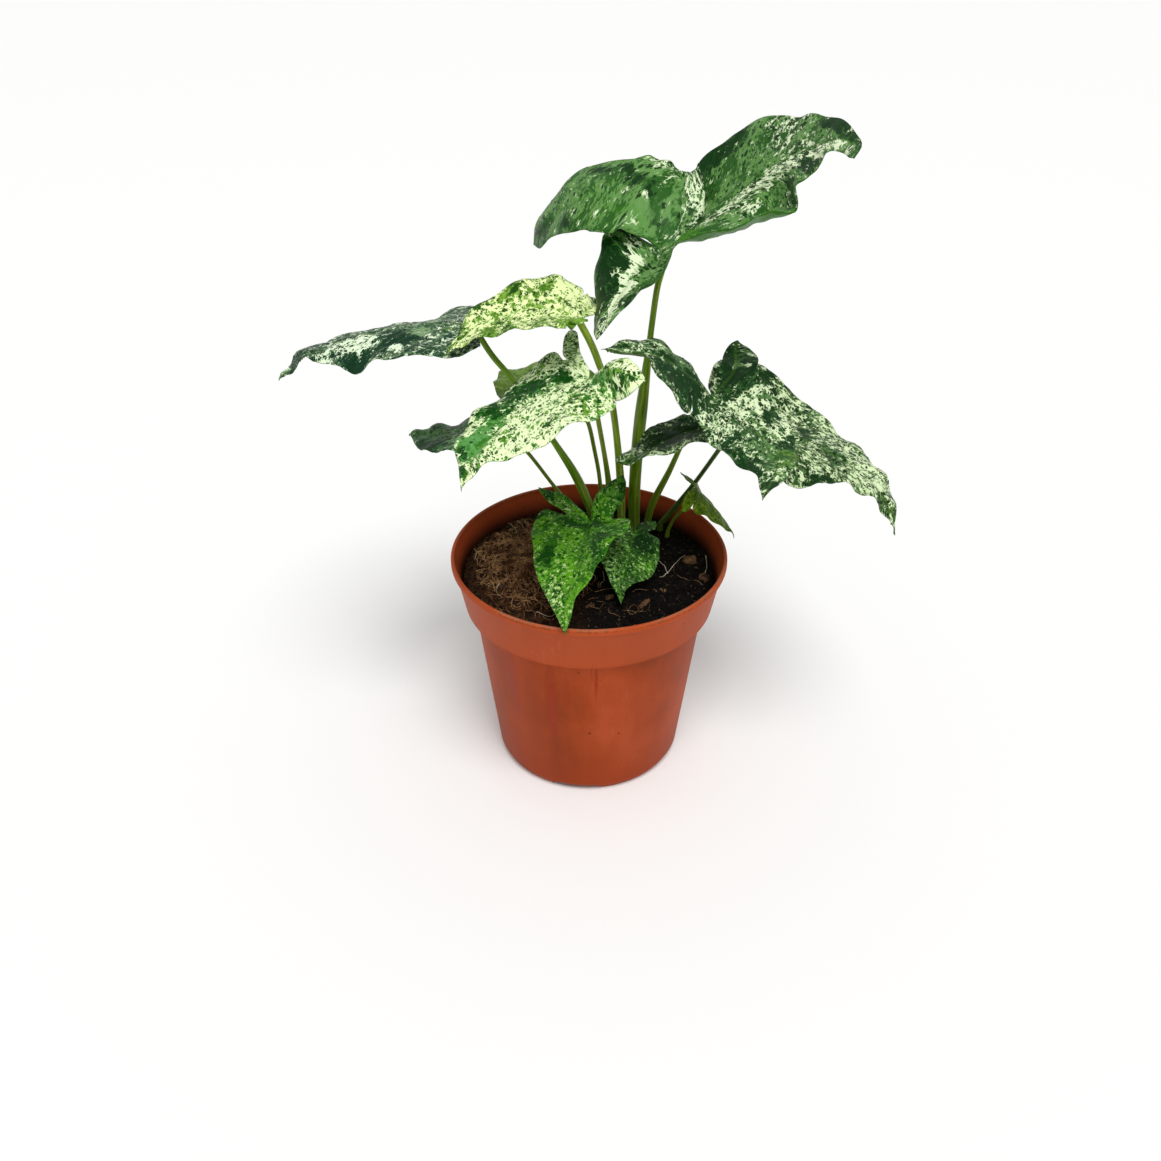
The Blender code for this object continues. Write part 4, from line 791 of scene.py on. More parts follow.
        zones=[(-6, 5, 6.5, 6, 0, 0.04, 0.94, 0), (15, 7, 2.6, 5.5, 0, 0.12, 0.16, 1), (11, 8, 2, 8, 0, 0.04, 0.9, 0.1),
               (7, 6, 2.4, 4.5, 0, 0.45, 0.2, 0.9), (-6, 17, 4.5, 3, 0, 0.32, 0.28, 1), (6, 25, 5, 5, 0, 0.42, 0.3, 0.6),
               (-4, -6, 4, 5, 20, 0.06, 0.8, 0.1)]),
    "leaf_pale": dict(
        deep=(74, 104, 8), sage=(120, 142, 40), bright=(96, 126, 10), darkest=(52, 86, 4), ivory=(150, 170, 70),
        net=1.1, cream=0.2, dark=0.3, hue=0.8, zones=[(9, 4, 3, 7, 20, 0.35, 0.1, 1), (0, 24, 5, 4, 0, 0, 0.5, 0.6)]),
}

fleckSizes = dict(fine=1.2, coarse=5.0, net=1.8, dots=2.0, specks=1.0, stretch=1.4)     # mm; longer along the veins


def tint(colour, strength=1.0):
    # a colour as seen, 0 to 255, as linear light
    return tuple(strength * (v / 255 / 12.92 if v < 10.3 else ((v / 255 + 0.055) / 1.055) ** 2.4) for v in colour)


def leafFinish(name, look):
    made = Finish(name, 0.42, 0.14)
    made.skin.inputs["Specular Tint"].default_value = (0.6, 1.0, 0.55, 1.0)
    tones = {key: tint(look[key]) for key in ("deep", "sage", "bright", "darkest", "ivory")}

    def scaled(size, shift, longer=fleckSizes["stretch"]):
        return made.stretch(made.uv("grain"), (200 / size, 200 / size / longer, 1.0), (shift, shift * 0.7, 0.0))

    def cloud(size, detail, shift, rough=0.6):
        return made.noise(scaled(size, shift), 1.0, detail, rough)

    def warped(size, shift, amount):
        # places pushed about a little, so that cells and spots are never quite round
        where = scaled(size, shift)
        push = made.add("ShaderNodeTexNoise", None, dict(Vector=where, Scale=1.6, Detail=3.0), "Color")
        push = made.add("ShaderNodeVectorMath", dict(operation="SCALE"), {0: push, "Scale": amount})
        return made.add("ShaderNodeVectorMath", dict(operation="ADD"), {0: where, 1: push})

    def cells(where, feature, output):
        return made.add("ShaderNodeTexVoronoi", dict(voronoi_dimensions="2D", feature=feature),
                        dict(Vector=where, Scale=1.0), output)

    def dots(size, shift):
        # small near the middle of each spot; the reach differs from one spot to the next
        where = warped(size, shift, 0.7)
        return cells(where, "F1", "Distance") + made.parts(cells(where, "F1", "Color"))[0] * 0.8

    cream, dark, hue = made.parts(made.attribute("paint", "Color"))
    under, edge, rib = made.parts(made.attribute("sides", "Color"))
    veins = made.attribute("sides", "Alpha")
    fine = cloud(fleckSizes["fine"], 4.0, 0.31, 0.65)
    coarse = cloud(fleckSizes["coarse"], 3.0, 0.77)
    drift = cloud(fleckSizes["coarse"] * 1.4, 3.0, 2.9)
    net = look.get("net", fleckSizes["net"])
    patchy = cloud(net * 1.5, 4.0, 7.3, 0.6)
    grey = made.add("ShaderNodeValToRGB", dict(stops=[
        (0.0, tones["deep"]), (0.5, tones["sage"]), (1.0, tones["bright"])]), dict(Fac=hue + (coarse - 0.5) * 0.5))
    shade = made.mix(tones["deep"], grey, made.between(drift + (fine - 0.5) * 0.7, 0.42, 0.54))
    # dark spots and specks, and dark cells where the cream net is dense
    netPlace = warped(net, 5.7, 1.1)
    reach = dark * 1.3 + (drift - 0.5) * 1.1 + 0.08
    spots = made.between(reach - dots(fleckSizes["dots"], 1.43), -0.03, 0.04)
    specks = made.between(reach * 0.85 - dots(fleckSizes["specks"], 4.1), -0.04, 0.05)
    cellTone = made.parts(cells(netPlace, "F1", "Color"))[0]
    filled = made.between(dark * 1.15 + 0.06 - cellTone, 0.0, 0.06) * made.between(cream, 0.22, 0.4)
    gloom = made.add("ShaderNodeMath", dict(operation="MAXIMUM"), {0: spots, 1: specks * 0.8})
    gloom = made.add("ShaderNodeMath", dict(operation="MAXIMUM"), {0: gloom, 1: filled})
    depth = made.mix(tones["darkest"], tones["deep"], made.between(fine, 0.5, 0.68) * 0.55)
    colour = made.mix(shade, depth, gloom * 0.95)
    # the cream net: its threads follow cell borders and winding lines, and widen with the cream share
    width = cream * 0.36 - 0.09 + (patchy - 0.5) * 0.8 + (fine - 0.5) * 0.3
    curls = made.add("ShaderNodeMath", dict(operation="ABSOLUTE"), {0: cloud(net * 1.1, 1.0, 9.9, 0.5) - 0.5})
    gap = made.add("ShaderNodeMath", dict(operation="MINIMUM"), {
        0: cells(netPlace, "DISTANCE_TO_EDGE", "Distance"), 1: curls * 1.6 + 0.02})
    light = made.between(width - gap, -0.02, 0.04)
    paleness = made.between(width, -0.02, 0.16)
    colour = made.mix(colour, made.mix(made.mix(grey, tones["ivory"], 0.4), tones["ivory"], paleness), light)
    # ribs and side veins are a little brighter, the margin is a fine dark line, the underside is duller
    colour = made.mix(colour, tones["bright"], made.between(veins, 0.16, 0.02) * 0.25)
    colour = made.mix(colour, tones["bright"], made.between(rib, 0.09, 0.02) * 0.3)
    colour = made.mix(colour, tones["darkest"], made.between(edge, 0.05, 0.01) * 0.5)
    colour = made.mix(colour, made.mix(tones["bright"], tones["deep"], 0.25 + coarse * 0.5), under * 0.85)
    pores = made.noise(made.stretch(made.uv("flat"), (200 / 0.5, 200 / 0.5, 1.0)), 1.0, 2.0, 0.5)
    normal = made.bump(pores * 0.3 + coarse * 0.7 + light * 0.08 - gloom * 0.08, 0.0006, 0.5)
    return made.finish(colour, 0.33 + fine * 0.2, normal)


print("blades")
bladePieces = {}
for leafName, leaf in leafForms.items():
    look = leafLooks[leafName]
    if "rib" in look:
        leaf["rib"] = look["rib"]
    blade = makeBlade(leafName, leaf, look, leafFinish(leafName, look))
    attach(blade, "root")
    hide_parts(leafName)
    bladePieces[leafName] = blade


# Stalks

stalkMake = dict(
    soilTop=93.5, depth=9.0,       # mm
    step=1.2, sides=20,
    groove=0.30, ribs=0.035)       # shares of the radius


def stalkRoute(name):
    # upright in the soil, then through its own points into the blade's underside
    stalk, leaf = stalkForms[name], leafForms[name]
    x, y = stalk["foot"]
    end = np.array(leaf["at"], float) - leafAxes(leaf)[2] * 0.5
    top = stalkMake["soilTop"]
    above = even(curveThrough([(x, y, top + 2.5), *stalk["through"], end], 10), 1.5)
    below = np.array([(x, y, z) for z in np.arange(top - stalkMake["depth"], top + 2.0, 1.5)])
    return np.vstack([below, above])


def stalkRadii(name, route):
    low, high = stalkForms[name]["radius"]
    share = runLengths(route) / runLengths(route)[-1]
    fade = np.clip((share - stalkForms[name]["sheath"] + 0.15) / 0.3, 0, 1)
    return low + (high - low) * fade * fade * (3 - 2 * fade)


class Tree:
    # a Geometry Nodes tree with named inputs
    def __init__(self, name, inputs):
        self.tree = bpy.data.node_groups.new(name, "GeometryNodeTree")
        self.ids = {}
        for key, kind in inputs.items():
            self.ids[key] = self.tree.interface.new_socket(key, in_out="INPUT", socket_type=kind).identifier
        self.tree.interface.new_socket("Geometry", in_out="OUTPUT", socket_type="NodeSocketGeometry")
        self.entry = self.tree.nodes.new("NodeGroupInput")
        self.exit = self.tree.nodes.new("NodeGroupOutput")

    def inlet(self, key):
        return self.entry.outputs[key]

    def add(self, kind, settings=None, inputs=None, output=0):
        node = self.tree.nodes.new(kind)
        for key, value in (settings or {}).items():
            setattr(node, key, value)
        for key, value in (inputs or {}).items():
            socket = node.inputs[key] if isinstance(key, int) else next(
                s for s in node.inputs if key in (s.identifier, s.name) and s.enabled)
            if isinstance(value, bpy.types.NodeSocket):
                self.tree.links.new(value, socket)
            else:
                socket.default_value = value
        return node.outputs[output]

    def math(self, operation, *values):
        return self.add("ShaderNodeMath", dict(operation=operation), dict(enumerate(values)))

    def close(self, geometry):
        self.tree.links.new(geometry, self.exit.inputs[0])

    def use(self, piece, values):
        # runs the tree on the piece and leaves a plain mesh object of the same name
        modifier = piece.modifiers.new("form", "NODES")
        modifier.node_group = self.tree
        for key, value in values.items():
            modifier[self.ids[key]] = value
        bpy.context.view_layer.update()
        solved = piece.evaluated_get(bpy.context.evaluated_depsgraph_get())
        mesh = bpy.data.meshes.new_from_object(solved)
        name = piece.name
        piece.modifiers.remove(modifier)
        bpy.data.objects.remove(piece)
        made = bpy.data.objects.new(name, mesh)
        bpy.context.collection.objects.link(made)
        return made


def stalkTree():
    tree = Tree("stalkForm", {"Path": "NodeSocketGeometry", "Step": "NodeSocketFloat", "Sides": "NodeSocketInt",
                              "Groove": "NodeSocketFloat", "Ribs": "NodeSocketFloat", "Finish": "NodeSocketMaterial"})
    path = tree.add("GeometryNodeResampleCurve", dict(mode="LENGTH"),
                    {"Curve": tree.inlet("Path"), "Length": tree.inlet("Step")})
    radius = tree.add("GeometryNodeInputRadius")
    stop = tree.add("GeometryNodeSplineParameter", output="Length")
    path = tree.add("GeometryNodeStoreNamedAttribute", dict(data_type="FLOAT", domain="POINT"),
                    {"Geometry": path, "Name": "along", "Value": stop})
    path = tree.add("GeometryNodeStoreNamedAttribute", dict(data_type="FLOAT", domain="POINT"),
                    {"Geometry": path, "Name": "girth", "Value": radius})
    ring = tree.add("GeometryNodeCurvePrimitiveCircle", dict(mode="RADIUS"),
                    {"Resolution": tree.inlet("Sides"), "Radius": 1.0})
    place = tree.add("GeometryNodeInputPosition")
    ring = tree.add("GeometryNodeStoreNamedAttribute", dict(data_type="FLOAT_VECTOR", domain="POINT"),
                    {"Geometry": ring, "Name": "round", "Value": place})
    tube = tree.add("GeometryNodeCurveToMesh", None,
                    {"Curve": path, "Profile Curve": ring, "Scale": radius, "Fill Caps": True})
    around = tree.add("GeometryNodeInputNamedAttribute", dict(data_type="FLOAT_VECTOR"), {"Name": "round"})
    girth = tree.add("GeometryNodeInputNamedAttribute", dict(data_type="FLOAT"), {"Name": "girth"})
    split = tree.add("ShaderNodeSeparateXYZ", None, {0: around})
    cosine, sine = split, split.node.outputs[1]
    turn = tree.math("ARCTAN2", sine, cosine)
    channel = tree.math("POWER", tree.math("MAXIMUM", sine, 0.0), 6.0)
    ridges = tree.math("COSINE", tree.math("MULTIPLY", turn, 7.0))
    inward = tree.math("ADD", tree.math("MULTIPLY", channel, tree.inlet("Groove")),
                       tree.math("MULTIPLY", ridges, tree.inlet("Ribs")))
    normal = tree.add("GeometryNodeInputNormal")
    shift = tree.add("ShaderNodeVectorMath", dict(operation="SCALE"),
                     {0: normal, "Scale": tree.math("MULTIPLY", tree.math("MULTIPLY", inward, girth), -1.0)})
    tube = tree.add("GeometryNodeSetPosition", None, {"Geometry": tube, "Offset": shift})
    tube = tree.add("GeometryNodeSetShadeSmooth", None, {"Geometry": tube})
    tube = tree.add("GeometryNodeRealizeInstances", None, {"Geometry": tube})
    tree.close(tree.add("GeometryNodeSetMaterial", None, {"Geometry": tube, "Material": tree.inlet("Finish")}))
    return tree


# Stalk colours as seen, 0 to 255, from the shaded streaks to the light ones
stalkLooks = {
    "leaf_top": ((34, 66, 4), (96, 128, 8), (142, 160, 66)), "leaf_cream": ((70, 104, 6), (128, 156, 36), (176, 196, 96)),
    "leaf_far_left": ((48, 88, 4), (98, 136, 24), (150, 176, 74)), "leaf_front_left": ((78, 102, 12), (112, 136, 34), (140, 162, 60)),
    "leaf_far_right": ((16, 46, 3), (52, 78, 14), (104, 126, 50)), "leaf_front_right": ((66, 88, 6), (104, 132, 22), (136, 158, 52)),
    "leaf_low_front": ((60, 96, 8), (104, 142, 28), (146, 172, 70))}


def stalkFinish(name, look):
    low, middle, high = [tint(colour) for colour in look]
    made = Finish(name, 0.42, 0.3)
    made.skin.inputs["Specular Tint"].default_value = (0.7, 1.0, 0.5, 1.0)
    turn = made.attribute("round", "Vector")
    along = made.attribute("along")
    cosine, sine, _ = made.parts(turn)
    where = made.add("ShaderNodeCombineXYZ", None, {0: cosine, 1: sine, 2: along * 22.0})
    streaks = made.noise(where, 3.4, 3.0, 0.6)
    blotch = made.noise(where, 1.1, 2.0, 0.5)
    colour = made.add("ShaderNodeValToRGB", dict(stops=[(0.34, low), (0.5, middle), (0.64, high)]),
                      dict(Fac=streaks * 0.55 + blotch * 0.45))
    # the channel, a groove, is darkened with the shaded streak colour, painted shade, and the foot is paler where the
    # sheath wraps it
    colour = made.mix(colour, low, made.between(sine, 0.86, 0.98) * 0.7)
    colour = made.mix(colour, high, made.between(along, 0.034, 0.006) * 0.35)
    return made.finish(colour, 0.35 + streaks * 0.2, made.bump(streaks, 0.0003, 0.6))


def pathCurve(name, points, radii):
    curve = bpy.data.curves.new(name, "CURVE")
    curve.dimensions = "3D"
    spline = curve.splines.new("POLY")
    spline.points.add(len(points) - 1)
    for knot, point, radius in zip(spline.points, points, radii):
        knot.co = (*(float(v) * mm for v in point), 1.0)
        knot.radius = float(radius) * mm
    made = bpy.data.objects.new(name, curve)
    bpy.context.collection.objects.link(made)
    return made


print("stalks")
stalkForm = stalkTree()
for leafName in leafForms:
    route = stalkRoute(leafName)
    name = leafName.replace("leaf", "stalk")
    greenSkin = stalkFinish(name, stalkLooks.get(leafName, stalkLooks["leaf_front_right"]))
    guide = pathCurve(name.replace("stalk", "stem"), route, stalkRadii(leafName, route))
    stem = stalkForm.use(guide, {"Step": stalkMake["step"] * mm, "Sides": stalkMake["sides"],
                                 "Groove": stalkMake["groove"], "Ribs": stalkMake["ribs"], "Finish": greenSkin})
    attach(stem, "root")
    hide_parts(name)


# Pot

potMake = dict(
    height=103.0, lipRadius=60.0, lipHeight=3.0,      # mm
    collarTop=58.5, collarFoot=54.8, collarFootHeight=80.0,
    bodyTop=51.0, bodyFoot=42.0, base=39.5, wall=1.4, floor=3.0,
    sides=180, drainRadius=3.5, drainCircle=24.0, channelWidth=20.0, channelHeight=1.5, channelTurn=-8.0)


def arc(cx, cz, radius, start, end, count):
    return [(cx + radius * math.cos(math.radians(a)), cz + radius * math.sin(math.radians(a)))
            for a in np.linspace(start, end, count)]


def potProfile():
    p = potMake
    top = p["height"] - p["lipHeight"]
    outer = [(0, 0.8), (34, 0.8), (35.5, 0.1), (p["base"] - 0.8, 0.0), (p["base"] + 0.2, 0.4), (p["bodyFoot"] - 0.6, 3.2),
             (p["bodyFoot"], 4.4), (p["bodyTop"] - 0.15, p["collarFootHeight"] - 1.6), (p["bodyTop"] + 0.2, p["collarFootHeight"] - 0.8)]
    outer += [(p["collarFoot"] - 0.5, p["collarFootHeight"] - 0.1)] + arc(p["collarFoot"] - 0.4, p["collarFootHeight"] + 0.4, 0.4, -60, 0, 3)
    outer += [(p["collarTop"] - 0.1, top - 1.2), (p["collarTop"] + 0.4, top - 0.6), (p["lipRadius"] - 0.9, top - 0.15)]
    outer += arc(p["lipRadius"] - 0.8, top + 0.6, 0.8, -70, 0, 5) + arc(p["lipRadius"] - 1.1, p["height"] - 1.1, 1.1, 0, 90, 7)
    inner = arc(p["collarTop"] - 0.2 + 0.8, p["height"] - 0.8, 0.8, 90, 180, 5)
    inner += [(p["collarTop"] - p["wall"], top - 1.0), (p["collarFoot"] - p["wall"], p["collarFootHeight"] + 1.0),
              (p["bodyTop"] - p["wall"], p["collarFootHeight"] - 1.8), (p["bodyFoot"] - p["wall"], p["floor"] + 2.0),
              (p["base"] - p["wall"], p["floor"]), (0, p["floor"])]
    return outer + inner


def potTree():
    tree = Tree("potForm", {"Profile": "NodeSocketGeometry", "Sides": "NodeSocketInt", "Finish": "NodeSocketMaterial"})
    ring = tree.add("GeometryNodeCurvePrimitiveCircle", dict(mode="RADIUS"),
                    {"Resolution": tree.inlet("Sides"), "Radius": 0.04})
    wall = tree.add("GeometryNodeCurveToMesh", None, {"Curve": ring, "Profile Curve": tree.inlet("Profile")})
    wall = tree.add("GeometryNodeMergeByDistance", None, {"Geometry": wall, "Distance": 1e-5})
    wall = tree.add("GeometryNodeRealizeInstances", None, {"Geometry": wall})
    tree.close(tree.add("GeometryNodeSetMaterial", None, {"Geometry": wall, "Material": tree.inlet("Finish")}))
    return tree


def potFoot(wall):
    # four shallow channels across the foot ring, and drain holes through the floor
    p = potMake
    for point in wall.data.vertices:
        x, y, z = point.co
        for k in range(4):
            turn = math.radians(90 * k + p["channelTurn"])
            along, across = x * math.sin(turn) - y * math.cos(turn), x * math.cos(turn) + y * math.sin(turn)
            if along > 0.033 and abs(across) < p["channelWidth"] / 2 * mm and z < p["channelHeight"] * mm:
                point.co.z = p["channelHeight"] * mm
    places = [(0.0, 0.0)] + [(p["drainCircle"] * math.cos(math.radians(60 * k + 30)),
                              p["drainCircle"] * math.sin(math.radians(60 * k + 30))) for k in range(6)]
    drills = bmesh.new()
    for x, y in places:
        made = bmesh.ops.create_cone(drills, cap_ends=True, segments=24, radius1=p["drainRadius"] * mm,
                                     radius2=p["drainRadius"] * mm, depth=0.012)
        bmesh.ops.translate(drills, verts=made["verts"], vec=(x * mm, y * mm, 0.0))
    mesh = bpy.data.meshes.new("drills")
    drills.to_mesh(mesh)
    drills.free()
    cutter = bpy.data.objects.new("drills", mesh)
    bpy.context.collection.objects.link(cutter)
    cut = wall.modifiers.new("drain", "BOOLEAN")
    cut.operation, cut.object, cut.solver = "DIFFERENCE", cutter, "EXACT"
    bpy.context.view_layer.update()
    wall.data = bpy.data.meshes.new_from_object(wall.evaluated_get(bpy.context.evaluated_depsgraph_get()))
    wall.modifiers.remove(cut)
    bpy.data.objects.remove(cutter)


# Wet streaks on the front of the wall: (mm to +X, height at the middle, half width, half height, strength)
potStreaks = [(-16.5, 58, 2.8, 24, 0.8), (-15.6, 50, 1.8, 17, 1.0), (4.2, 69, 0.9, 12, 0.9), (2.0, 75, 0.6, 8, 0.5),
              (-34.0, 64, 3.4, 19, 0.7), (-31.5, 46, 2.0, 14, 0.7), (-9.5, 62, 1.6, 16, 0.4)]


def potFinish():
    made = Finish("pot", 0.45, 0.1)
    made.skin.inputs["Specular Tint"].default_value = (1.0, 0.72, 0.55, 1.0)
    where = made.objectPlace()
    x, y, z = made.parts(where)
    cloud = made.noise(where, 22.0, 4.0, 0.55)
    bands = made.noise(made.stretch(where, (1.0, 1.0, 0.18)), 60.0, 3.0, 0.55)
    grit = made.noise(where, 900.0, 2.0, 0.6)
    brush = made.noise(made.stretch(where, (1.0, 1.0, 0.1)), 420.0, 3.0, 0.65)
    tone = cloud * 0.55 + bands * 0.35 + grit * 0.1
    colour = made.add("ShaderNodeValToRGB", dict(stops=[
        (0.36, tint((128, 50, 8))), (0.5, tint((158, 62, 20))), (0.62, tint((174, 74, 36)))]), dict(Fac=tone))
    # the right side stays a cleaner orange; the foot and lower wall are darker, painted shade, and the collar is a
    # little paler, painted light
    colour = made.mix(colour, tint((150, 54, 6)), made.between(z, 0.034, 0.004) * 0.7)
    colour = made.mix(colour, tint((176, 78, 42)), made.between(z, 0.079, 0.082) * 0.6)
    wet = 0.0
    for across, height, wide, high, strength in potStreaks:
        u = (x - across * mm + (bands - 0.5) * 0.008) / (wide * mm)
        v = (z - height * mm) / (high * mm)
        wet = made.between(u * u + v * v + (cloud - 0.5) * 2.0 + (brush - 0.5) * 1.2, 1.3, 0.2) * strength + wet
    wet = wet * made.between(y, 0.0, -0.02)
    colour = made.mix(colour, tint((146, 44, 0)), wet * 0.85)
    # scuffs and specks
    scuff = made.between(brush * 0.6 + cloud * 0.4, 0.6, 0.72)
    colour = made.mix(colour, tint((190, 100, 66)), scuff * 0.35)
    speck = made.add("ShaderNodeTexVoronoi", None, dict(Vector=where, Scale=130.0), "Distance")
    dots = made.between(speck + (grit - 0.5) * 0.1, 0.10, 0.05)
    colour = made.mix(colour, tint((70, 30, 14)), dots * made.between(cloud, 0.5, 0.56) * 0.8)
    # the rim's top is pale in patches, partly real wear and partly a painted highlight, with soil in its scratches, and
    # the inside wall is darker, darkest towards the soil
    reach = made.add("ShaderNodeVectorMath", dict(operation="LENGTH"), {
        0: made.add("ShaderNodeCombineXYZ", None, {0: x, 1: y})}, "Value")
    rim = made.between(z, 0.1021, 0.1029)
    # pale patches on the rim's top: partly wear, partly painted highlight
    rimWearAndHighlight = rim * made.between(grit * 0.4 + cloud * 0.6, 0.46, 0.58)
    colour = made.mix(colour, tint((204, 140, 108)), rimWearAndHighlight * 0.5)
    dirt = made.between(grit * 0.5 + cloud * 0.5, 0.48, 0.58)
    colour = made.mix(colour, tint((64, 40, 22)), made.between(z, 0.1012, 0.1020) * dirt * 0.45)
    inside = made.between(reach - (z - 0.080) * 0.15, 0.0544, 0.0538)
    # the inside wall is darker, and darkest towards the soil
    insideDarkening = made.mix(tint((118, 50, 30)), tint((52, 26, 14)), made.between(z + (cloud - 0.5) * 0.012, 0.1, 0.091))
    colour = made.mix(colour, insideDarkening, inside * made.between(z, 0.078, 0.082))
    normal = made.bump(grit * 0.4 + brush * 0.6, 0.0001, 0.5)
    return made.finish(colour, 0.4 + tone * 0.25 - wet * 0.12, normal)


print("pot")
profile = [(r - 40.0, -z) for r, z in reversed(potProfile())]
outline = pathCurve("potWall", [(r, h, 0.0) for r, h in profile], [1000.0] * len(profile))
potWall = potTree().use(outline, {"Sides": potMake["sides"], "Finish": potFinish()})
potFoot(potWall)
for face in potWall.data.polygons:
    face.use_smooth = True
potWall.data.set_sharp_from_angle(angle=math.radians(32))
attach(potWall, "root")
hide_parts("pot")


# Soil

soilMake = dict(
    level=93.3, radius=54.2, rings=60, spokes=150,     # mm
    mound=(-29.0, 8.0, 24.0, 24.0, 4.6),               # matted fibre: middle, half width, half depth, height
    rough=1.7, crumbs=0.6e6, crumbSize=(0.45, 3.0), seed=11,
    fibres=520, strays=26, fibreSides=4)

# Bits of bark and root as seen: (column, row, half length, half width, half height in mm, turn)
barkBits = [(690, 562, 3.4, 2.9, 2.2, 20), (704, 577, 2.8, 2.2, 1.6, 70), (644, 604, 4.6, 1.3, 1.0, 50),
            (610, 597, 2.2, 1.2, 1.0, 30), (546, 609, 3.0, 1.2, 0.9, -10), (600, 585, 1.6, 1.0, 0.9, 80),
            (590, 606, 2.4, 0.9, 0.8, 15), (663, 592, 1.5, 0.8, 0.7, -30), (503, 590, 2.2, 1.2, 1.0, 60),
            (566, 520, 2.4, 1.4, 1.2, 20), (594, 505, 2.2, 1.2, 1.1, -25), (664, 506, 2.6, 1.2, 1.2, 35)]

# Pale root hairs as seen, each a row of (column, row)
rootHairs = [[(660, 576), (668, 570), (676, 563), (685, 556)], [(668, 571), (664, 565), (659, 560)],
             [(522, 495), (529, 500), (536, 506)], [(508, 521), (513, 527), (517, 536)],
             [(517, 520), (522, 526), (525, 534)], [(704, 541), (708, 536), (714, 540), (712, 546)],
             [(700, 520), (706, 516), (712, 519)], [(600, 583), (604, 578), (603, 571)],
             [(706, 553), (707, 562), (705, 570)], [(474, 548), (477, 556), (475, 565)],
             [(500, 584), (496, 591), (502, 598)], [(536, 612), (546, 616), (556, 613)]]


def soilHeight(x, y):
    # mm above the base: a rough bed, higher where the fibre is matted, lower in a ring by the wall
    mx, my, wide, deep, high = soilMake["mound"]
    mound = high * math.exp(-(((x - mx) / wide) ** 2 + ((y - my) / deep) ** 2) ** 1.5)
    lumps = noise.fractal(Vector((x * 0.11, y * 0.11, 4.0)), 0.8, 2.0, 5)
    wall = 1.6 * max(0.0, (math.hypot(x, y) - 46.0) / 8.0) ** 2
    return soilMake["level"] + mound + soilMake["rough"] * lumps - wall


def soilBedMesh():
    # a closed cake: rough top, straight side, flat underside
    p, made = soilMake, bmesh.new()
    middle = made.verts.new((0.0, 0.0, soilHeight(0.0, 0.0) * mm))
    rings = []
    for k in range(1, p["rings"] + 1):
        r = p["radius"] * k / p["rings"]
        ring = []
        for n in range(p["spokes"]):
            turn = 2 * math.pi * (n + 0.5 * (k % 2)) / p["spokes"]
            x, y = r * math.cos(turn), r * math.sin(turn)
            ring.append(made.verts.new((x * mm, y * mm, soilHeight(x, y) * mm)))
        rings.append(ring)
    foot = [made.verts.new((v.co.x * 0.985, v.co.y * 0.985, 0.084)) for v in rings[-1]]
    count = p["spokes"]
    for n in range(count):
        made.faces.new((middle, rings[0][n], rings[0][(n + 1) % count]))
    for inner, outer in zip(rings, rings[1:]):
        for n in range(count):
            made.faces.new((inner[n], outer[n], outer[(n + 1) % count], inner[(n + 1) % count]))
    for n in range(count):
        made.faces.new((rings[-1][n], foot[n], foot[(n + 1) % count], rings[-1][(n + 1) % count]))
    made.faces.new(list(reversed(foot)))
    mesh = bpy.data.meshes.new("soilBed")
    made.to_mesh(mesh)
    made.free()
    mesh.shade_smooth()
    return mesh


def crumbTree():
    # crumbs of a few faces each, strewn over the faces that look up
    tree = Tree("crumbForm", {"Bed": "NodeSocketGeometry", "Density": "NodeSocketFloat", "Smallest": "NodeSocketFloat",
                              "Largest": "NodeSocketFloat", "Seed": "NodeSocketInt", "Finish": "NodeSocketMaterial"})
    facing = tree.add("ShaderNodeSeparateXYZ", None, {0: tree.add("GeometryNodeInputNormal")}).node.outputs[2]
    upward = tree.add("FunctionNodeCompare", dict(data_type="FLOAT", operation="GREATER_THAN"), {0: facing, 1: 0.3})
    spots = tree.add("GeometryNodeDistributePointsOnFaces", dict(distribute_method="RANDOM"), {
        "Mesh": tree.inlet("Bed"), "Selection": upward, "Density": tree.inlet("Density"), "Seed": tree.inlet("Seed")})
    size = tree.add("FunctionNodeRandomValue", dict(data_type="FLOAT"), {
        "Min_001": 0.0, "Max_001": 1.0, "Seed": tree.inlet("Seed")}, 1)
    size = tree.math("MULTIPLY_ADD", tree.math("POWER", size, 3.0),
                     tree.math("SUBTRACT", tree.inlet("Largest"), tree.inlet("Smallest")), tree.inlet("Smallest"))
    turn = tree.add("FunctionNodeRandomValue", dict(data_type="FLOAT_VECTOR"), {
        "Min": (0, 0, 0), "Max": (6.28, 6.28, 6.28), "Seed": 3})
    grain = tree.add("GeometryNodeMeshIcoSphere", None, {"Radius": 0.5, "Subdivisions": 1})
    crumbs = tree.add("GeometryNodeInstanceOnPoints", None, {
        "Points": spots, "Instance": grain, "Rotation": turn, "Scale": size})
    squeeze = tree.add("FunctionNodeRandomValue", dict(data_type="FLOAT_VECTOR"), {
        "Min": (0.5, 0.5, 0.5), "Max": (1.3, 1.0, 0.8), "Seed": 8})
    crumbs = tree.add("GeometryNodeScaleInstances", None, {"Instances": crumbs, "Scale": squeeze})
    crumbs = tree.add("GeometryNodeRealizeInstances", None, {"Geometry": crumbs})
    tree.close(tree.add("GeometryNodeSetMaterial", None, {"Geometry": crumbs, "Material": tree.inlet("Finish")}))
    return tree


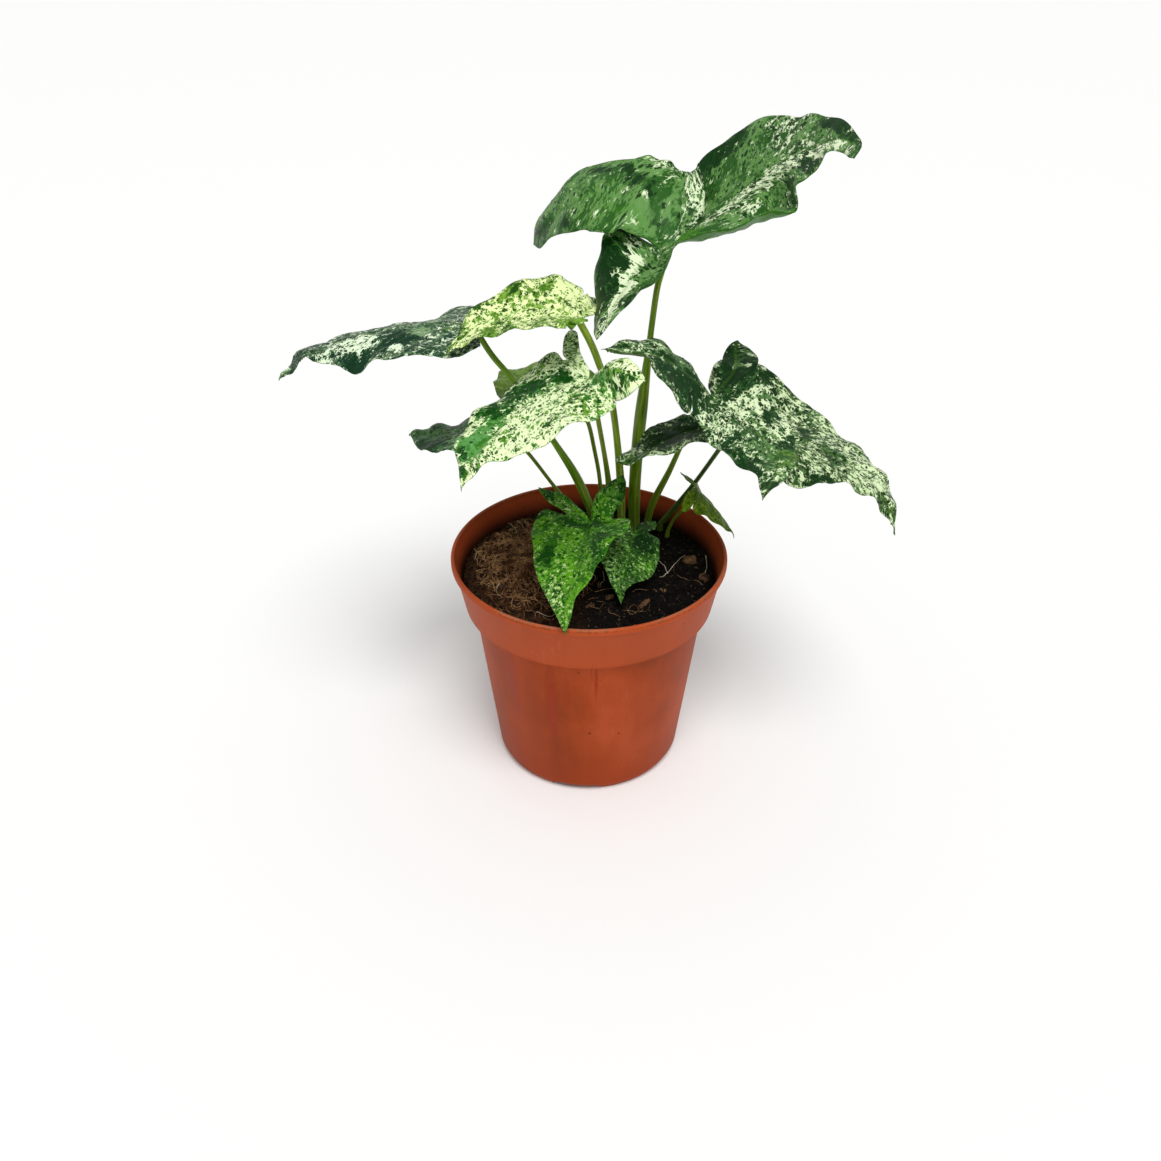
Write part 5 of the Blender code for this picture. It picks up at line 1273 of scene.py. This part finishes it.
def threadTree():
    # thin closed tubes along every spline of a curve object
    tree = Tree("threadForm", {"Paths": "NodeSocketGeometry", "Sides": "NodeSocketInt", "Finish": "NodeSocketMaterial"})
    radius = tree.add("GeometryNodeInputRadius")
    ring = tree.add("GeometryNodeCurvePrimitiveCircle", dict(mode="RADIUS"),
                    {"Resolution": tree.inlet("Sides"), "Radius": 1.0})
    thread = tree.add("GeometryNodeCurveToMesh", None, {
        "Curve": tree.inlet("Paths"), "Profile Curve": ring, "Scale": radius, "Fill Caps": True})
    thread = tree.add("GeometryNodeSetShadeSmooth", None, {"Geometry": thread})
    thread = tree.add("GeometryNodeRealizeInstances", None, {"Geometry": thread})
    tree.close(tree.add("GeometryNodeSetMaterial", None, {"Geometry": thread, "Material": tree.inlet("Finish")}))
    return tree


def clearOfStalks(x, y):
    return all(math.dist((x, y), stalk["foot"]) > stalk["radius"][0] + 1.2 for stalk in stalkForms.values())


def fibrePaths():
    # curly fibres, most of them matted on the left, each wandering over the bed
    draw = np.random.default_rng(soilMake["seed"])
    mx, my, wide, deep, _ = soilMake["mound"]
    paths = []
    while len(paths) < soilMake["fibres"]:
        if len(paths) < soilMake["fibres"] - soilMake["strays"]:
            x, y = mx + draw.normal() * wide * 0.5, my - 6 + draw.normal() * deep * 0.6
        else:
            x, y = draw.uniform(-50, 50, 2)
        heading, curl = draw.uniform(0, 2 * math.pi), draw.normal() * 0.3
        lift, path = draw.uniform(0.2, 2.0), []
        for k in range(int(draw.integers(8, 26))):
            if math.hypot(x, y) > 51.5 or not clearOfStalks(x, y):
                break
            path.append((x, y, soilHeight(x, y) + lift * math.sin(k * 0.45) ** 2 + 0.1))
            heading += curl + draw.normal() * 0.22
            x, y = x + 1.1 * math.cos(heading), y + 1.1 * math.sin(heading)
        if len(path) > 4:
            paths.append((path, draw.uniform(0.08, 0.27)))
    return paths


def threadCurves(name, paths):
    curve = bpy.data.curves.new(name, "CURVE")
    curve.dimensions = "3D"
    for points, radius in paths:
        spline = curve.splines.new("POLY")
        spline.points.add(len(points) - 1)
        for k, (knot, point) in enumerate(zip(spline.points, points)):
            knot.co = (*(float(v) * mm for v in point), 1.0)
            knot.radius = radius * mm * (1.0 - 0.6 * k / len(points))
    made = bpy.data.objects.new(name, curve)
    bpy.context.collection.objects.link(made)
    return made


def barkMesh():
    made = bmesh.new()
    for n, (column, row, long, wide, high, turn) in enumerate(barkBits):
        x, y, _ = onLevel(column, row, soilMake["level"])
        bit = bmesh.ops.create_icosphere(made, subdivisions=3, radius=1.0)
        c, s = math.cos(math.radians(turn)), math.sin(math.radians(turn))
        for v in bit["verts"]:
            bump = 1.0 + 0.4 * noise.fractal(v.co * 1.7 + Vector((n * 3.1, 0.0, 0.0)), 0.7, 2.2, 4)
            a, b, h = v.co.x * long * bump, v.co.y * wide * bump, v.co.z * high * bump
            v.co = Vector((x + a * c - b * s, y + a * s + b * c, soilHeight(x, y) + high * 0.35 + h)) * mm
    mesh = bpy.data.meshes.new("barkBits")
    made.to_mesh(mesh)
    made.free()
    mesh.shade_smooth()
    return mesh


def soilFinish():
    made = Finish("soil", 0.95, 0.1)
    where = made.objectPlace()
    x, y, z = made.parts(where)
    coarse = made.noise(where, 260.0, 5.0, 0.65)
    fine = made.noise(where, 1300.0, 3.0, 0.6)
    left = made.between(x + (coarse - 0.5) * 0.03, 0.004, -0.016)
    colour = made.add("ShaderNodeValToRGB", dict(stops=[
        (0.4, tint((5, 4, 4))), (0.56, tint((15, 11, 8))), (0.68, tint((42, 31, 22)))]),
        dict(Fac=coarse * 0.6 + fine * 0.4))
    brown = made.mix(tint((28, 16, 8)), tint((84, 54, 32)), made.between(coarse * 0.5 + fine * 0.5, 0.42, 0.6))
    colour = made.mix(colour, brown, left * 0.8)
    chips = made.between(made.noise(where, 700.0, 1.0, 0.5), 0.68, 0.72)
    colour = made.mix(colour, tint((98, 84, 62)), chips * 0.55)
    return made.finish(colour, 0.9, made.bump(coarse * 0.7 + fine * 0.3, 0.0012, 1.0))


def fibreFinish(name, low, high):
    made = Finish(name, 0.7, 0.2)
    where = made.objectPlace()
    tone = made.noise(where, 180.0, 3.0, 0.6) * 0.6 + made.noise(where, 1500.0, 2.0, 0.6) * 0.4
    colour = made.mix(tint(low), tint(high), made.between(tone, 0.4, 0.62))
    return made.finish(colour, 0.6 + tone * 0.3, made.bump(tone, 0.0001, 0.5))


print("soil")
soilLook = soilFinish()
soilPieces = []
soilBed = bpy.data.objects.new("soilBed", soilBedMesh())
soilBed.data.materials.append(soilLook)
bpy.context.collection.objects.link(soilBed)
strewn = bpy.data.objects.new("soilCrumbs", soilBed.data.copy())
bpy.context.collection.objects.link(strewn)
soilCrumbs = crumbTree().use(strewn, {"Density": soilMake["crumbs"], "Smallest": soilMake["crumbSize"][0] * mm,
                                      "Largest": soilMake["crumbSize"][1] * mm, "Seed": soilMake["seed"],
                                      "Finish": soilLook})
threads = threadTree()
matted = threads.use(threadCurves("matFibres", fibrePaths()), {
    "Sides": soilMake["fibreSides"], "Finish": fibreFinish("coir", (84, 46, 20), (196, 150, 104))})
hairPaths = []
for seen in rootHairs:
    flatPath = curveThrough([onLevel(column, row, soilMake["level"] + 1.2)[:2] for column, row in seen], 4)
    hairPaths.append(([(x, y, soilHeight(x, y) + 1.0) for x, y in flatPath], 0.22))
hairs = threads.use(threadCurves("rootHairs", hairPaths), {
    "Sides": soilMake["fibreSides"], "Finish": fibreFinish("rootHair", (150, 136, 110), (214, 204, 184))})
bark = bpy.data.objects.new("barkBits", barkMesh())
bark.data.materials.append(fibreFinish("bark", (30, 17, 10), (112, 80, 50)))
bpy.context.collection.objects.link(bark)
for piece in (soilBed, soilCrumbs, matted, hairs, bark):
    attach(piece, "root")
    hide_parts("soil")
    soilPieces.append(piece)
    print(piece.name, len(piece.data.polygons), "faces")


# Setting

stage = dict(floor=(0.86, 0.86, 0.85), sky=0.55, sun=2.3, softness=30.0, sunFrom=(0.12, -0.5, 1.0))


def floorFinish():
    made = Finish("floor", 0.6, 0.3)
    return made.finish(stage["floor"])


def makeStage():
    mesh = bpy.data.meshes.new("floor")
    mesh.from_pydata([(-6, -6, 0), (6, -6, 0), (6, 6, 0), (-6, 6, 0)], [], [(0, 1, 2, 3)])
    mesh.materials.append(floorFinish())
    floor = bpy.data.objects.new("floor", mesh)
    bpy.context.collection.objects.link(floor)
    sun = bpy.data.lights.new("softSun", "SUN")
    sun.energy, sun.angle = stage["sun"], math.radians(stage["softness"])
    lamp = bpy.data.objects.new("softSun", sun)
    lamp.rotation_euler = Vector(stage["sunFrom"]).to_track_quat("Z", "Y").to_euler()
    bpy.context.collection.objects.link(lamp)
    world = bpy.data.worlds.new("sky")
    world.use_nodes = True
    world.node_tree.nodes["Background"].inputs["Color"].default_value = (1, 1, 1, 1)
    world.node_tree.nodes["Background"].inputs["Strength"].default_value = stage["sky"]
    bpy.context.scene.world = world
    bpy.context.scene.view_settings.view_transform = "Standard"


def makeCamera():
    camera = bpy.data.objects.new("camera", bpy.data.cameras.new("camera"))
    camera.data.lens, camera.data.sensor_width = view["lens"], view["sensor"]
    camera.location = [v * mm for v in view["place"]]
    camera.rotation_euler = (math.radians(view["tilt"]), 0, 0)
    bpy.context.collection.objects.link(camera)
    bpy.context.scene.camera = camera


print("stage")
makeStage()
makeCamera()
